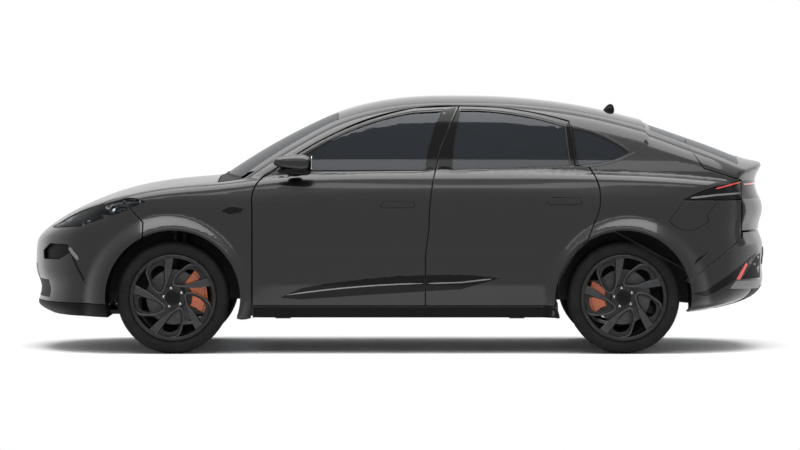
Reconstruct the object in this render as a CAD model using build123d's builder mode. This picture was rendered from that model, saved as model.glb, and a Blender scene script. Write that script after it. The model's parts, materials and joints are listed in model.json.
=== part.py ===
from build123d import *
import math
import os

# Electric coupe sport utility vehicle, in millimetres.
# +X runs rearwards, +Y to the car's right, +Z up. The origin is on the ground, mid length, mid width.

# Overall sizes
length = 4904
wheelbase = 2950
front_axle_x = -1486
rear_axle_x = front_axle_x + wheelbase
roof_z = 1690
roof_peak_x = 370
nose_x = -length / 2
tail_x = length / 2
sill_bottom_z = 215
floor_z = 330

# Wheels, axles and arches
tyre_radius = 367
tyre_width = 245
rim_radius = 283
track = 1680
hub_y = track / 2
arch_radius = 440
flare_radius = 532
flare_half_width = 992

# Shut lines and wall thicknesses
shut_gap = 6
skin = 22
frame_wall = 46
door_wall = 112
bumper_wall = 46
scoop_depth = 24
glass_wall = 5
glass_inset = 6
seat_clearance = 0.3
tray_front_x = -1990
flange_step = 32
flange_gap = 16
frame_relief = 8
hinge_setback = 65
hinge_clearance = 78
foot_extra = 20
foot_height = 84
top_relief = 64
shoulder_relief = 14
lean_allowance = 1.1

# Curvature of the big surfaces
side_plan_radius = 30000
side_mid_x = 100
side_half_width = 972
canopy_plan_radius = 15000
canopy_mid_x = 20
roof_crown_radius = 3000
deck_crown_radius = 8000
nose_plan_radius = 1500
tail_plan_radius = 1700


def upright_plane(x, y=0, z=0):
    """A sketch plane in XZ whose local x is +X and local y is +Z."""
    return Plane(origin=(x, y, z), x_dir=(1, 0, 0), z_dir=(0, -1, 0))


def trace(start, *moves):
    """Draws lines and arcs from point to point: a move is (end) for a line or (middle, end) for an arc."""
    here = start
    for move in moves:
        if isinstance(move[0], tuple):
            ThreePointArc(here, move[0], move[1])
            here = move[1]
        else:
            Line(here, move)
            here = move
    if here != start:
        Line(here, start)


def about_vertical(x, y, side, profile):
    """A solid of revolution about the upright line through (x, y). The profile holds (radius, z)."""
    far = {"left": (0, 1, 0), "front": (1, 0, 0), "rear": (-1, 0, 0)}[side]
    seam = Vector(*far)
    up = Vector(0, 0, 1)
    with BuildPart() as turned:
        with BuildSketch(Plane(origin=(x, y, 0), x_dir=seam, z_dir=seam.cross(up))):
            with BuildLine():
                trace(*profile)
            make_face()
        revolve(axis=Axis((x, y, 0), (0, 0, 1)))
    return turned.part


def about_lengthwise(z, profile):
    """A solid of revolution about the fore-and-aft line at height z. The profile holds (x, radius)."""
    with BuildPart() as turned:
        with BuildSketch(Plane(origin=(0, 0, z), x_dir=(1, 0, 0), z_dir=(0, 1, 0))):
            with BuildLine():
                trace(*profile)
            make_face()
        revolve(axis=Axis((0, 0, z), (1, 0, 0)))
    return turned.part


def common(*shapes):
    """The part of space that all the shapes share."""
    with BuildPart() as shared:
        add(shapes[0])
        for shape in shapes[1:]:
            add(shape, mode=Mode.INTERSECT)
    return shared.part


def joined(*shapes):
    with BuildPart() as whole:
        for shape in shapes:
            add(shape)
    return whole.part


def without(shape, *tools):
    with BuildPart() as rest:
        add(shape)
        for tool in tools:
            add(tool, mode=Mode.SUBTRACT)
    return rest.part


def side_prism(*outline, grow=0, y_from=-1200, y_to=0):
    """A side-view outline, given as (x, z), grown by an amount and extruded across the car."""
    with BuildPart() as prism:
        with BuildSketch(upright_plane(0, y_to)):
            with BuildLine():
                trace(*outline)
            make_face()
            if grow:
                offset(amount=grow, kind=Kind.INTERSECTION, mode=Mode.REPLACE)
        extrude(amount=y_to - y_from)
    return prism.part


def plan_prism(*outline, grow=0, z_from=0, z_to=2000):
    """A plan-view outline, given as (x, y), grown by an amount and extruded upwards."""
    with BuildPart() as prism:
        with BuildSketch(Plane.XY.offset(z_from)):
            with BuildLine():
                trace(*outline)
            make_face()
            if grow:
                offset(amount=grow, kind=Kind.INTERSECTION, mode=Mode.REPLACE)
        extrude(amount=z_to - z_from)
    return prism.part


def disc(x, y_from, y_to, radius, z=tyre_radius):
    """A cylinder along Y."""
    with BuildPart() as drum:
        with BuildSketch(upright_plane(0, y_to)):
            with Locations((x, z)):
                Circle(radius)
        extrude(amount=y_to - y_from)
    return drum.part


def block(x_range, y_range, z_range):
    with BuildPart() as cuboid:
        with BuildSketch(Plane.XY.offset(z_range[0])):
            with Locations(((x_range[0] + x_range[1]) / 2, (y_range[0] + y_range[1]) / 2)):
                Rectangle(x_range[1] - x_range[0], y_range[1] - y_range[0])
        extrude(amount=z_range[1] - z_range[0])
    return cuboid.part


def mirrored(shape):
    with BuildPart() as other:
        add(shape)
        mirror(about=Plane.XZ, mode=Mode.REPLACE)
    return other.part


def both_sides(shape):
    return joined(shape, mirrored(shape))


def largest(shape):
    return max(shape.solids(), key=lambda solid: solid.volume)


def save(shape, name):
    """Writes one named piece to its own file."""
    shape.label = name
    export_step(shape, f"parts/{name}.step")
    sizes = [round(solid.volume / 1e6, 2) for solid in shape.solids()]
    print(name, sizes, "litres")


os.makedirs("parts", exist_ok=True)

# The body below the belt. Each profile holds (distance from its axis, z).
belt_half_width = 880
belt_z = 1232


def side_block(inset=0):
    axis_y = side_plan_radius - side_half_width
    reach = axis_y - inset
    profile = (
        (reach + 905, sill_bottom_z + inset),
        ((reach + 956, 480), (reach + side_half_width, 800)),
        (reach + 962, 1000),
        ((reach + 936, 1108), (reach + belt_half_width, belt_z)),
        (1000, belt_z),
        (1000, sill_bottom_z + inset),
    )
    left = about_vertical(side_mid_x, axis_y, "left", profile)
    return common(left, mirrored(left))


def deck_block(inset=0):
    """Everything under the bonnet, belt and haunch line, crowned across the car."""
    axis_z = roof_z - 500 - deck_crown_radius
    line = (
        (-2700, 200),
        (-2700, 644),
        (-2103, 960),
        ((-1900, 1046), (-1704, 1100)),
        ((-1450, 1138), (-1186, 1160)),
        (-560, 1226),
        ((400, 1244), (1300, 1224)),
        ((1760, 1200), (2100, 1168)),
        (2600, 1120),
        (2600, 200),
    )
    return about_lengthwise(axis_z, [raised(move, -axis_z - lean_allowance * inset) for move in line])


def raised(move, rise):
    if isinstance(move[0], tuple):
        return tuple((x, z + rise) for x, z in move)
    return (move[0], move[1] + rise)


def nose_block(inset=0):
    centre_x = nose_x + nose_plan_radius
    line = (
        (-1994, 224),
        ((-2250, 236), (-2425, 292)),
        (-2449, 318),
        (-2406, 350),
        (-2404, 478),
        (-2440, 500),
        (-2445, 690),
        ((-2410, 792), (-2302, 868)),
        (-2260, 1300),
        (centre_x, 1300),
        (centre_x, 100),
        (-1994, 100),
    )
    turned = about_vertical(centre_x, 0, "front", [flipped(move, centre_x - inset, -1) for move in line])
    return joined(turned, block((centre_x, 2600), (-1200, 1200), (100, 1300)))


def tail_block(inset=0):
    centre_x = tail_x - tail_plan_radius
    line = (
        (1938, 236),
        ((2230, 270), (2425, 372)),
        (2446, 472),
        (2434, 560),
        (2450, 654),
        (2404, 783),
        ((2434, 900), (2416, 1011)),
        (2380, 1077),
        ((2386, 1160), (2419, 1242)),
        (2360, 1262),
        (2200, 1500),
        (centre_x, 1800),
        (centre_x, 100),
        (1938, 100),
    )
    turned = about_vertical(centre_x, 0, "rear", [flipped(move, centre_x + inset, 1) for move in line])
    return joined(turned, block((-2600, centre_x), (-1200, 1200), (100, 1800)))


def flipped(move, axis_x, way):
    """Turns (x, z) into (distance from the axis, z)."""
    if isinstance(move[0], tuple):
        return tuple(flipped(point, axis_x, way) for point in move)
    return (max(way * (move[0] - axis_x), 0), move[1])


def corner_block(inset=0):
    """The plan outline that rounds the four corners."""
    edge = 1010
    with BuildPart() as prism:
        with BuildSketch(Plane.XY.offset(50)):
            with BuildLine():
                trace(
                    (-2480, 0),
                    (-2480, -480),
                    (-2340, -600),
                    ((-2120, -842), (-1780, -930)),
                    (-1700, -edge),
                    (1700, -edge),
                    (1800, -930),
                    ((2180, -812), (2355, -560)),
                    (2480, -480),
                    (2480, 0),
                )
            make_face()
            mirror(about=Plane.XZ)
            if inset:
                offset(amount=-inset, kind=Kind.INTERSECTION, mode=Mode.REPLACE)
        extrude(amount=1900)
    return prism.part


def canopy_sides(inset=0):
    axis_y = canopy_plan_radius - 888
    reach = axis_y - lean_allowance * inset
    profile = (
        (reach + 888, 850),
        (reach + 888, 1100),
        ((reach + 800, 1380), (reach + 636, 1660)),
        (reach + 600, 1720),
        (1000, 1720),
        (1000, 850),
    )
    left = about_vertical(canopy_mid_x, axis_y, "left", profile)
    return common(left, mirrored(left))


# Side-view line of windscreen, roof and fastback on the centre plane, as (x, z)
cowl = (-1186, 1157)
roof_front = (-429, 1578)
roof_shoulder = (-30, 1672)
roof_peak = (roof_peak_x, roof_z)
roof_rear = (1612, 1530)
glass_top = (1640, 1508)
glass_bottom = (2283, 1276)
lip = (2425, 1246)


def canopy_top(inset=0):
    axis_z = roof_z - roof_crown_radius
    line = (
        (-1560, 886),
        cowl,
        ((-820, 1386), roof_front),
        ((-240, 1636), roof_shoulder),
        ((170, 1686), roof_peak),
        ((1000, 1655), roof_rear),
        glass_top,
        ((1964, 1402), glass_bottom),
        ((2356, 1256), lip),
        (2425, 886),
    )
    return about_lengthwise(axis_z, [raised(move, -axis_z - lean_allowance * inset) for move in line])


def flare(axle_x):
    """The raised lip around a wheel arch, on the left."""
    with BuildPart() as ring:
        with BuildSketch(Plane(origin=(axle_x, 0, tyre_radius), x_dir=(1, 0, 0), z_dir=(0, 0, 1))):
            with BuildLine():
                trace(
                    (arch_radius - 20, -860),
                    (arch_radius - 20, -flare_half_width),
                    (arch_radius + 16, -flare_half_width),
                    ((arch_radius + 58, -(flare_half_width - 22)), (flare_radius, -900)),
                    (flare_radius, -860),
                )
            make_face()
        revolve(axis=Axis((axle_x, 0, tyre_radius), (0, 1, 0)))
    kept = block((axle_x - 600, axle_x + 600), (-1100, -800), (sill_bottom_z, 1000))
    return common(ring.part, kept)


def lower_body(inset=0):
    return common(side_block(inset), deck_block(inset), nose_block(inset), tail_block(inset), corner_block(inset))


def canopy(inset=0):
    return common(canopy_sides(inset), canopy_top(inset), tail_block(inset))


front_arch = disc(front_axle_x, -1100, -500, arch_radius)
rear_arch = disc(rear_axle_x, -1100, -640, arch_radius)
arches = joined(both_sides(front_arch), both_sides(rear_arch))

flares = joined(both_sides(flare(front_axle_x)), both_sides(flare(rear_axle_x)))
outer = without(joined(lower_body(), flares, canopy()), arches)
inner_skin = joined(lower_body(skin), canopy(skin))
inner_flange = joined(lower_body(skin + shut_gap), canopy(skin + shut_gap))
inner_wall = joined(lower_body(door_wall), canopy(frame_wall))
above_floor = block((-2600, 2600), (-1200, 1200), (floor_z, 1800))
cabin_space = common(inner_wall, above_floor)
bumper_inner = lower_body(bumper_wall)
bumper_shell = without(outer, bumper_inner)

# Side-view outlines, as (x, z)
door_bottom_z = 312
door_split_x = 190
front_door_line = (
    (-966, door_bottom_z),
    (-968, 960),
    ((-955, 1080), (-905, 1150)),
    (-838, 1188),
    ((-420, 1445), (90, 1607)),
    (392, 1622),
    (300, 1420),
    ((215, 1120), (door_split_x, 830)),
    (door_split_x - 24, 640),
    (door_split_x - 24, door_bottom_z),
)
front_window_line = (
    (-770, 1190),
    ((-400, 1424), (90, 1576)),
    (282, 1586),
    ((215, 1410), (178, 1196)),
)
rear_door_line = (
    (door_split_x - 24, door_bottom_z),
    (door_split_x - 24, 640),
    (door_split_x, 830),
    ((215, 1120), (300, 1420)),
    (392, 1622),
    ((820, 1588), (1112, 1520)),
    (1148, 1230),
    (1238, 1222),
    ((1306, 1080), (1290, 900)),
    (1225, 740),
    ((1070, 560), (1015, door_bottom_z)),
)
rear_window_line = (
    (338, 1202),
    ((352, 1400), (392, 1588)),
    (460, 1590),
    ((800, 1556), (1084, 1484)),
    (1112, 1228),
)
quarter_glass_line = (
    (1172, 1236),
    (1142, 1474),
    ((1330, 1418), (1505, 1312)),
    ((1380, 1258), (1172, 1236)),
)
lamp_line = (
    (-2303, 815),
    ((-2080, 930), (-1842, 998)),
    ((-1720, 1008), (-1672, 990)),
    ((-1850, 920), (-2100, 832)),
)
front_shut_line = (
    (-2600, 100),
    (-1683, 100),
    (-1683, 859),
    (-1763, 939),
    (-1790, 1010),
    (-2120, 940),
    (-2300, 850),
    (-2600, 850),
)
rear_shut_line = (
    (1880, 100),
    (1880, 470),
    (1894, 482),
    ((2083, 613), (2214, 720)),
    ((2305, 773), (2460, 790)),
    (2600, 790),
    (2600, 100),
)
tail_lamp_line = (
    (1861, 1004),
    ((2000, 1066), (2175, 1104)),
    (2240, 1128),
    (2330, 1196),
    (2500, 1196),
    (2500, 1004),
)
gate_side_line = (
    (1900, 1700),
    (1907, 1356),
    (2005, 1209),
    (2083, 1183),
    (2253, 1131),
    (2253, 796),
    (2600, 796),
    (2600, 1700),
)

# Plan-view outlines of the left half, as (x, y)
bonnet_half = (
    (-1196, 0),
    (-1196, -778),
    ((-1800, -790), (-2150, -640)),
    ((-2290, -420), (-2345, 0)),
)
screen_half = (
    (-1150, 0),
    ((-1120, -400), (-1040, -690)),
    (-412, -556),
    (-412, 0),
)
cowl_half = (
    (-1193, 0),
    (-1193, -765),
    (-1040, -765),
    (-1040, -690),
    ((-1120, -400), (-1150, 0)),
)
roof_half = ((-412, 0), (-412, -556), ((600, -526), (1622, -508)), (1622, 0))
gate_half = ((1625, 0), (1625, -540), (1990, -640), (2600, -700), (2600, 0))
rear_glass_half = ((1660, 0), (1660, -496), (2240, -560), (2268, 0))


def both_halves(outline, grow=0, z_from=0, z_to=2000):
    """A plan-view half outline and its mirror image, grown by an amount and extruded upwards."""
    with BuildPart() as prism:
        with BuildSketch(Plane.XY.offset(z_from)):
            with BuildLine():
                trace(*outline)
            make_face()
            mirror(about=Plane.XZ)
            if grow:
                offset(amount=grow, kind=Kind.INTERSECTION, mode=Mode.REPLACE)
        extrude(amount=z_to - z_from)
    return prism.part


def whole_width(line, grow=0):
    return side_prism(*line, grow=grow, y_from=-1200, y_to=1200)


def nudged(line, dx):
    """An outline moved along X."""
    return tuple(nudged(move, dx) if isinstance(move[0], tuple) else (move[0] + dx, move[1]) for move in line)


# Doors
above_belt = block((-900, 1400), (-1100, -400), (1240, 1700))
front_hinge_x = -966 + hinge_setback
front_hinge_y = -945
rear_hinge_x = door_split_x - 24 + hinge_setback
rear_hinge_y = -960


def left_door(line, window):
    """A door's skin and its smaller inner frame, together as thick as the whole door."""
    shell = without(common(outer, side_prism(*line, grow=-shut_gap / 2)), inner_skin)
    core = without(common(outer, side_prism(*line, grow=-flange_step)), cabin_space)
    return without(joined(shell, core), side_prism(*window), floor_cut)


def shallow(line, depth):
    """The outermost layer of the left flank inside a side-view outline."""
    return without(common(outer, side_prism(*line)), lower_body(depth))


door_leaf_line = ((-786, 368), (-640, 430), ((-120, 502), (490, 516)), (655, 496), (400, 424), ((0, 400), (-640, 356)))
leaf_rise = 5
leaf = common(without(lower_body(-leaf_rise), lower_body(2)), side_prism(*door_leaf_line))
floor_cut = block((-2600, 2600), (-860, 860), (0, floor_z + 20))
roof_clearance = both_halves(roof_half, grow=3, z_from=1300)
arch_clearance = disc(rear_axle_x, -1100, -500, arch_radius + 6)
split_x = door_split_x - 24
front_door_left = joined(
    without(
        left_door(front_door_line, front_window_line),
        common(side_prism(*nudged(rear_door_line, -frame_relief)), above_belt),
        roof_clearance,
    ),
    common(leaf, block((-900, split_x - shut_gap), (-1100, -800), (300, 600))),
)
swing_relief = joined(
    without(block((400, 1160), (-605, -400), (1480, 1700)), side_prism(*nudged(rear_door_line, -top_relief))),
    without(block((1200, 1400), (-860, -600), (1120, 1240)), side_prism(*nudged(rear_door_line, -shoulder_relief))),
)
rear_door_left = joined(
    without(left_door(rear_door_line, rear_window_line), arch_clearance, roof_clearance, swing_relief),
    common(leaf, block((split_x + shut_gap, 900), (-1100, -800), (300, 600))),
)

# Body side: pillars, roof rail, sill and rear quarter
front_zone = whole_width(((-2600, 100), (-960, 100), (-966, 960), (-840, 1186), (-2600, 1186)))
gate_zone = whole_width(gate_side_line, grow=3)
lamp_zone = whole_width(tail_lamp_line)
rear_zone = whole_width(rear_shut_line)
side_zone = plan_prism(
    (-1170, -1200), (2440, -1200), (2440, -686), (1990, -643), (1622, -543), (1622, -508),
    ((600, -526), (-412, -556)), (-1040, -690), (-1040, -765), (-1170, -765), z_from=sill_bottom_z - 10,
)
door_openings = (
    side_prism(*front_door_line, grow=shut_gap / 2),
    side_prism(*rear_door_line, grow=shut_gap / 2),
)
flange_openings = (
    side_prism(*front_door_line, grow=flange_gap - flange_step),
    side_prism(*rear_door_line, grow=flange_gap - flange_step),
)


def hinge_room(x, y):
    """The space that a door's leading edge swings through, wider at the foot where the sill stands out."""
    with BuildPart() as room:
        for radius, height in ((hinge_clearance, 1200 - door_bottom_z), (hinge_clearance + foot_extra, foot_height)):
            with BuildSketch(Plane.XY.offset(door_bottom_z - 3)):
                with Locations((x, y)):
                    Circle(radius)
            extrude(amount=height)
    return room.part


side_solid = common(outer, side_zone)
side_outer = without(side_solid, *door_openings)
side_inner = without(common(side_solid, inner_flange), *flange_openings)
side_frame_left = largest(without(
    joined(side_outer, side_inner),
    inner_wall,
    block((-2600, 2600), (-760, 760), (0, floor_z + 20)),
    common(side_prism(*nudged(rear_door_line, frame_relief)), above_belt),
    hinge_room(front_hinge_x, front_hinge_y),
    hinge_room(rear_hinge_x, rear_hinge_y),
    front_zone,
    gate_zone,
    lamp_zone,
    rear_zone,
    side_prism(*quarter_glass_line),
))

# Closed panels of the front end
front_end = without(outer, inner_skin)
wing_left = without(
    common(front_end, side_prism((-1680, sill_bottom_z), (-972, sill_bottom_z), (-972, 960), (-840, 1150),
        (-840, 1186), (-1180, 1186), (-2160, 1186), (-2160, 944), (-1790, 1014), (-1761, 941), (-1680, 861))),
    side_prism(*front_door_line, grow=shut_gap / 2),
    block((-1190, -700), (-765, 0), (900, 1300)),
    block((-2000, -700), (-860, 0), (0, 800)),
    both_halves(bonnet_half, grow=shut_gap / 2, z_from=400),
    side_prism(*lamp_line, grow=3),
)
bonnet = common(without(outer, inner_skin), both_halves(bonnet_half, grow=-shut_gap / 2, z_from=640))
scoop_line = ((-2368, 664), (-2316, 712), (-2188, 712), (-2163, 660), (-2248, 608), (-2364, 606))
side_slot_line = ((-2163, 660), (-2070, 470), (-2040, 448), (-2110, 470), (-2180, 600), (-2200, 640))
front_bumper = largest(without(
    common(bumper_shell, whole_width(front_shut_line, grow=-2)),
    both_sides(shallow(scoop_line, scoop_depth)),
    both_sides(shallow(side_slot_line, scoop_depth)),
    both_halves(bonnet_half, grow=shut_gap / 2, z_from=640),
    both_sides(side_prism(*lamp_line, grow=3)),
    block((tray_front_x, -1600), (-830, 830), (0, 700)),
))
headlamp_left = without(
    common(bumper_shell, side_prism(*lamp_line)),
    both_halves(bonnet_half, grow=shut_gap / 2, z_from=640),
)

# Rear end
gate_solid = without(bumper_shell, canopy(frame_wall))
vent_line = ((1900, 398), (2004, 412), (2140, 500), (2330, 634), (2380, 660), (2330, 560), (2140, 430), (2010, 370), (1900, 366))
rear_bumper = without(
    common(gate_solid, whole_width(rear_shut_line, grow=-2)),
    both_sides(shallow(vent_line, scoop_depth)),
)
tail_lamp_left = without(
    common(gate_solid, side_prism(*tail_lamp_line, grow=-2)),
    whole_width(gate_side_line, grow=3),
)
tailgate = without(
    common(gate_solid, joined(both_halves(gate_half, grow=-3, z_from=1186), whole_width(gate_side_line, grow=-3))),
    both_halves(rear_glass_half, z_from=1186),
)

# Roof and glass
fin = common(
    side_prism((1250, 1560), (1290, 1592), ((1350, 1616), (1437, 1634)), (1452, 1560), y_from=-18, y_to=18),
    plan_prism((1250, 0), ((1370, -16), (1452, -10)), (1452, 10), ((1370, 16), (1250, 0)), z_from=1500),
)
roof_panel = joined(
    common(without(canopy(), canopy(frame_wall)), both_halves(roof_half, grow=-0.3, z_from=1300)),
    without(fin, canopy(5)),
)
pane = without(canopy(glass_inset), canopy(glass_inset + glass_wall))
windscreen = common(pane, both_halves(screen_half, grow=-seat_clearance, z_from=1100))
rear_glass = common(pane, both_halves(rear_glass_half, grow=-seat_clearance, z_from=1186))
front_door_glass = common(pane, side_prism(*front_window_line, grow=-seat_clearance))
rear_door_glass = common(pane, side_prism(*rear_window_line, grow=-seat_clearance))
quarter_glass = both_sides(common(pane, side_prism(*quarter_glass_line, grow=-seat_clearance)))


# Wheels. A petal is given in polar form about the wheel centre, as (radius, degrees).
spoke_count = 5
petal_outline = ((265, 90), (266, 106), (265, 122), (247, 136), (153, 150), (85, 165), (66, 149), (87, 120), (133, 99))
petal_window = ((222, 112), (219, 133), (161, 142), (97, 152), (122, 118), (185, 107))
barrel_profile = (
    (283, -118), (283, -111), (269, -106), (269, -66), (254, -44), (254, 40), (269, 70), (269, 106), (283, 111),
    (283, 118), (262, 118), (262, 74), (246, 44), (246, -48), (258, -72), (258, -118),
)
tyre_profile = (
    (269.5, -99), (322, -122.5), (356, -112), (367, -78), (367, 78), (356, 112), (322, 122.5), (269.5, 99),
)
spoke_face_y = -950
spoke_back_y = -912
brake_face_y = -816
brake_back_y = -786
brake_radius = 182


def polar_points(outline, turn=0):
    return [
        (radius * math.cos(math.radians(angle + turn)), radius * math.sin(math.radians(angle + turn)))
        for radius, angle in outline
    ]


def wheel_ring(axle_x, profile, y=-hub_y):
    """Turns a closed (radius, y) profile about the left wheel's axle."""
    with BuildPart() as ring:
        with BuildSketch(Plane(origin=(axle_x, y, tyre_radius), x_dir=(1, 0, 0), z_dir=(0, 0, 1))):
            with BuildLine():
                Polyline(*profile, close=True)
            make_face()
        revolve(axis=Axis((axle_x, 0, tyre_radius), (0, 1, 0)))
    return ring.part


def left_wheel(axle_x):
    barrel = wheel_ring(axle_x, barrel_profile)
    with BuildPart() as star:
        with BuildSketch(upright_plane(axle_x, spoke_back_y, tyre_radius)):
            for turn in range(spoke_count):
                with BuildLine():
                    Polyline(*polar_points(petal_outline, turn * 360 / spoke_count), close=True)
                make_face()
            for turn in range(spoke_count):
                with BuildLine():
                    Polyline(*polar_points(petal_window, turn * 360 / spoke_count), close=True)
                make_face(mode=Mode.SUBTRACT)
            Circle(88)
        extrude(amount=spoke_back_y - spoke_face_y)
        with BuildSketch(upright_plane(axle_x, brake_back_y, tyre_radius)):
            Circle(78)
        extrude(amount=brake_back_y - spoke_back_y)
        with BuildSketch(upright_plane(axle_x, brake_back_y, tyre_radius)):
            Circle(brake_radius)
        extrude(amount=brake_back_y - brake_face_y)
        with BuildSketch(upright_plane(axle_x, -762, tyre_radius)):
            Circle(34)
        extrude(amount=brake_back_y + 786 + 24)
    return joined(barrel, star.part)


def caliper(axle_x, x_near, x_far, z_low, z_high):
    shoe = without(
        common(
            disc(axle_x, -850, -744, 236),
            block((axle_x + x_near, axle_x + x_far), (-900, -700), (tyre_radius + z_low, tyre_radius + z_high)),
        ),
        disc(axle_x, brake_face_y - 5, brake_back_y + 5, brake_radius + 6),
        disc(axle_x, -900, -700, 84),
    )
    return shoe


# Front corner: a gooseneck knuckle between two arms
lower_ball = (-755, 225)
upper_ball = (-655, 790)
kingpin_lean = math.degrees(math.atan2(upper_ball[0] - lower_ball[0], upper_ball[1] - lower_ball[1]))


def rod(start, end, radius):
    """A round bar between two points."""
    way = Vector(*end) - Vector(*start)
    with BuildPart() as bar:
        with BuildSketch(Plane(origin=start, z_dir=way)):
            Circle(radius)
        extrude(amount=way.length)
    return bar.part


def at_front(y, z, x=0):
    return (front_axle_x + x, y, z)


knuckle_left = without(
    joined(
        disc(front_axle_x, -768, -700, 62),
        rod(at_front(-746, 367), at_front(-742, 262), 28),
        rod(at_front(-748, 272), at_front(-755, 262), 20),
        rod(at_front(-755, 272), at_front(-755, 216), 12),
        rod(at_front(-715, 380), at_front(-672, 560), 26),
        rod(at_front(-672, 550), at_front(-655, 770), 22),
        rod(at_front(-655, 760), at_front(-655, 806), 11),
        rod(at_front(-740, 367), at_front(-740, 400, 150), 24),
        caliper(front_axle_x, 112, 212, -110, 150),
    ),
    disc(front_axle_x, -780, -690, 38),
    disc(front_axle_x, brake_face_y - 5, brake_back_y + 5, brake_radius + 6),
)


def arm(tip_y, tip_z, thickness, hole, inner_y, spread):
    """A wishbone in plan, with a hole for the ball-joint pin."""
    with BuildPart() as bone:
        with BuildSketch(Plane.XY.offset(tip_z - thickness)):
            with BuildLine():
                Polyline(
                    (front_axle_x - 26, tip_y - 8), (front_axle_x - 16, tip_y - 20),
                    (front_axle_x + 16, tip_y - 20), (front_axle_x + 26, tip_y - 8),
                    (front_axle_x + 40, tip_y + 60), (front_axle_x + spread, inner_y),
                    (front_axle_x + spread - 50, inner_y), (front_axle_x, tip_y + 110),
                    (front_axle_x - spread + 50, inner_y), (front_axle_x - spread, inner_y),
                    (front_axle_x - 40, tip_y + 60), close=True,
                )
            make_face()
            with Locations((front_axle_x, tip_y)):
                Circle(hole, mode=Mode.SUBTRACT)
        extrude(amount=thickness)
    return bone.part


front_suspension = joined(
    both_sides(joined(
        arm(lower_ball[0], 236, 18, 14, -380, 190),
        arm(upper_ball[0], 802, 16, 13, -440, 130),
        rod(at_front(-640, 228, 60), at_front(-560, 860, 60), 26),
        block((front_axle_x - 170, front_axle_x + 170), (-452, -420), (770, 862)),
    )),
    block((front_axle_x - 230, front_axle_x + 230), (-400, 400), (218, 260)),
    block((front_axle_x - 60, front_axle_x + 60), (-452, 452), (822, 862)),
    disc(front_axle_x, -640, 640, 24),
    disc(front_axle_x, -300, 300, 120),
    block((front_axle_x - 30, front_axle_x + 30), (-60, 60), (255, 300)),
)

rear_suspension = joined(
    both_sides(joined(
        without(joined(disc(rear_axle_x, -768, -690, 66), caliper(rear_axle_x, -212, -112, -110, 110)),
                disc(rear_axle_x, -780, -600, 38)),
        rod((rear_axle_x - 120, -752, 367), (rear_axle_x - 58, -742, 367), 22),
        rod((rear_axle_x, -725, 320), (rear_axle_x, -700, 250), 26),
        block((rear_axle_x - 50, rear_axle_x + 50), (-716, -360), (226, 262)),
        rod((rear_axle_x + 20, -712, 400), (rear_axle_x + 60, -400, 440), 20),
    )),
    block((rear_axle_x - 220, rear_axle_x + 220), (-400, 400), (240, 290)),
    block((rear_axle_x - 200, rear_axle_x + 200), (-545, 545), (460, 500 - seat_clearance)),
    block((rear_axle_x - 180, rear_axle_x - 130), (-380, 380), (280, 470)),
    block((rear_axle_x + 130, rear_axle_x + 180), (-380, 380), (280, 470)),
)
rear_drive_unit = joined(
    disc(rear_axle_x, -260, 260, 84, 375),
    block((rear_axle_x - 110, rear_axle_x + 110), (-150, 150), (290 + seat_clearance, 454)),
)

# Underbody
battery_pack = block((-930, 930), (-640, 640), (222, 320 - seat_clearance))


def seated_under(inner, shift, *ranges):
    """A carrier whose outer face follows the inside of a panel, a hair away from it."""
    return common(inner, block(*ranges)).moved(Location(shift))


hair = seat_clearance
left_carriers = joined(
    seated_under(inner_skin, (0, 0, -hair), (-1655, -980), (-850, -786), (960, 1200)),
    block((-1034, -966.2 - hair), (-850, -690), (320, 980)),
    seated_under(bumper_inner, (hair, hair, 0), (-2190, -1900), (-900, -600), (880, 905)),
    block((-2090, -2040), (-640, -440), (560, 905)),
    seated_under(bumper_inner, (-hair, hair, 0), (2060, 2250), (-900, -600), (1030, 1055)),
    block((2080, 2130), (-640, -500), (560, 1055)),
)
underbody = without(
    joined(
        both_sides(left_carriers),
        seated_under(bumper_inner, (3 * hair, 0, 0), (-2600, -2240), (-600, 600), (490, 610)),
        seated_under(bumper_inner, (-3 * hair, 0, 0), (2200, 2600), (-600, 600), (490, 600)),
        block((-1000, 1000), (-756, 756), (320, floor_z + 18)),
        block((-1000, -960), (-700, 700), (320, 1060)),
        block((960, 1010), (-700, 700), (320, 600)),
        block((960, 2240), (-560, 560), (560, 600)),
        both_sides(joined(
            block((-2260, -960), (-490, -420), (500, 600)),
            block((960, 2240), (-560, -480), (500, 600)),
            block((-1700, -1270), (-492 + hair, -420), (590, 640)),
            block((-1012, 1012), (-760 + hair, -720), (240, floor_z + 18)),
            block((-820, -720), (-756, -700), (222, 330)),
            block((720, 820), (-756, -700), (222, 330)),
        )),
        block((tray_front_x + shut_gap, -1720), (-420, 420), (235, 262)),
        both_sides(block((-1984, -1950), (-460, -420), (235, 520))),
        both_sides(seated_under(bumper_inner, (0, 0, 3 * hair), (-2240, -2200), (-460, -420), (sill_bottom_z, 520))),
        both_sides(block((-1760, -1716), (-460, -420), (240, 520))),
    ),
    block((-10, 10), (-10, 10), (0, 10)),
)


def arch_liner(axle_x, arch, inner_y, hole_boxes):
    tube = without(
        disc(axle_x, -900, inner_y + 8, arch_radius + 9),
        disc(axle_x, -1000, inner_y, arch_radius + 1),
        block((axle_x - 600, axle_x + 600), (-1100, 0), (0, 340)),
    )
    return without(tube, *hole_boxes)


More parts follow.
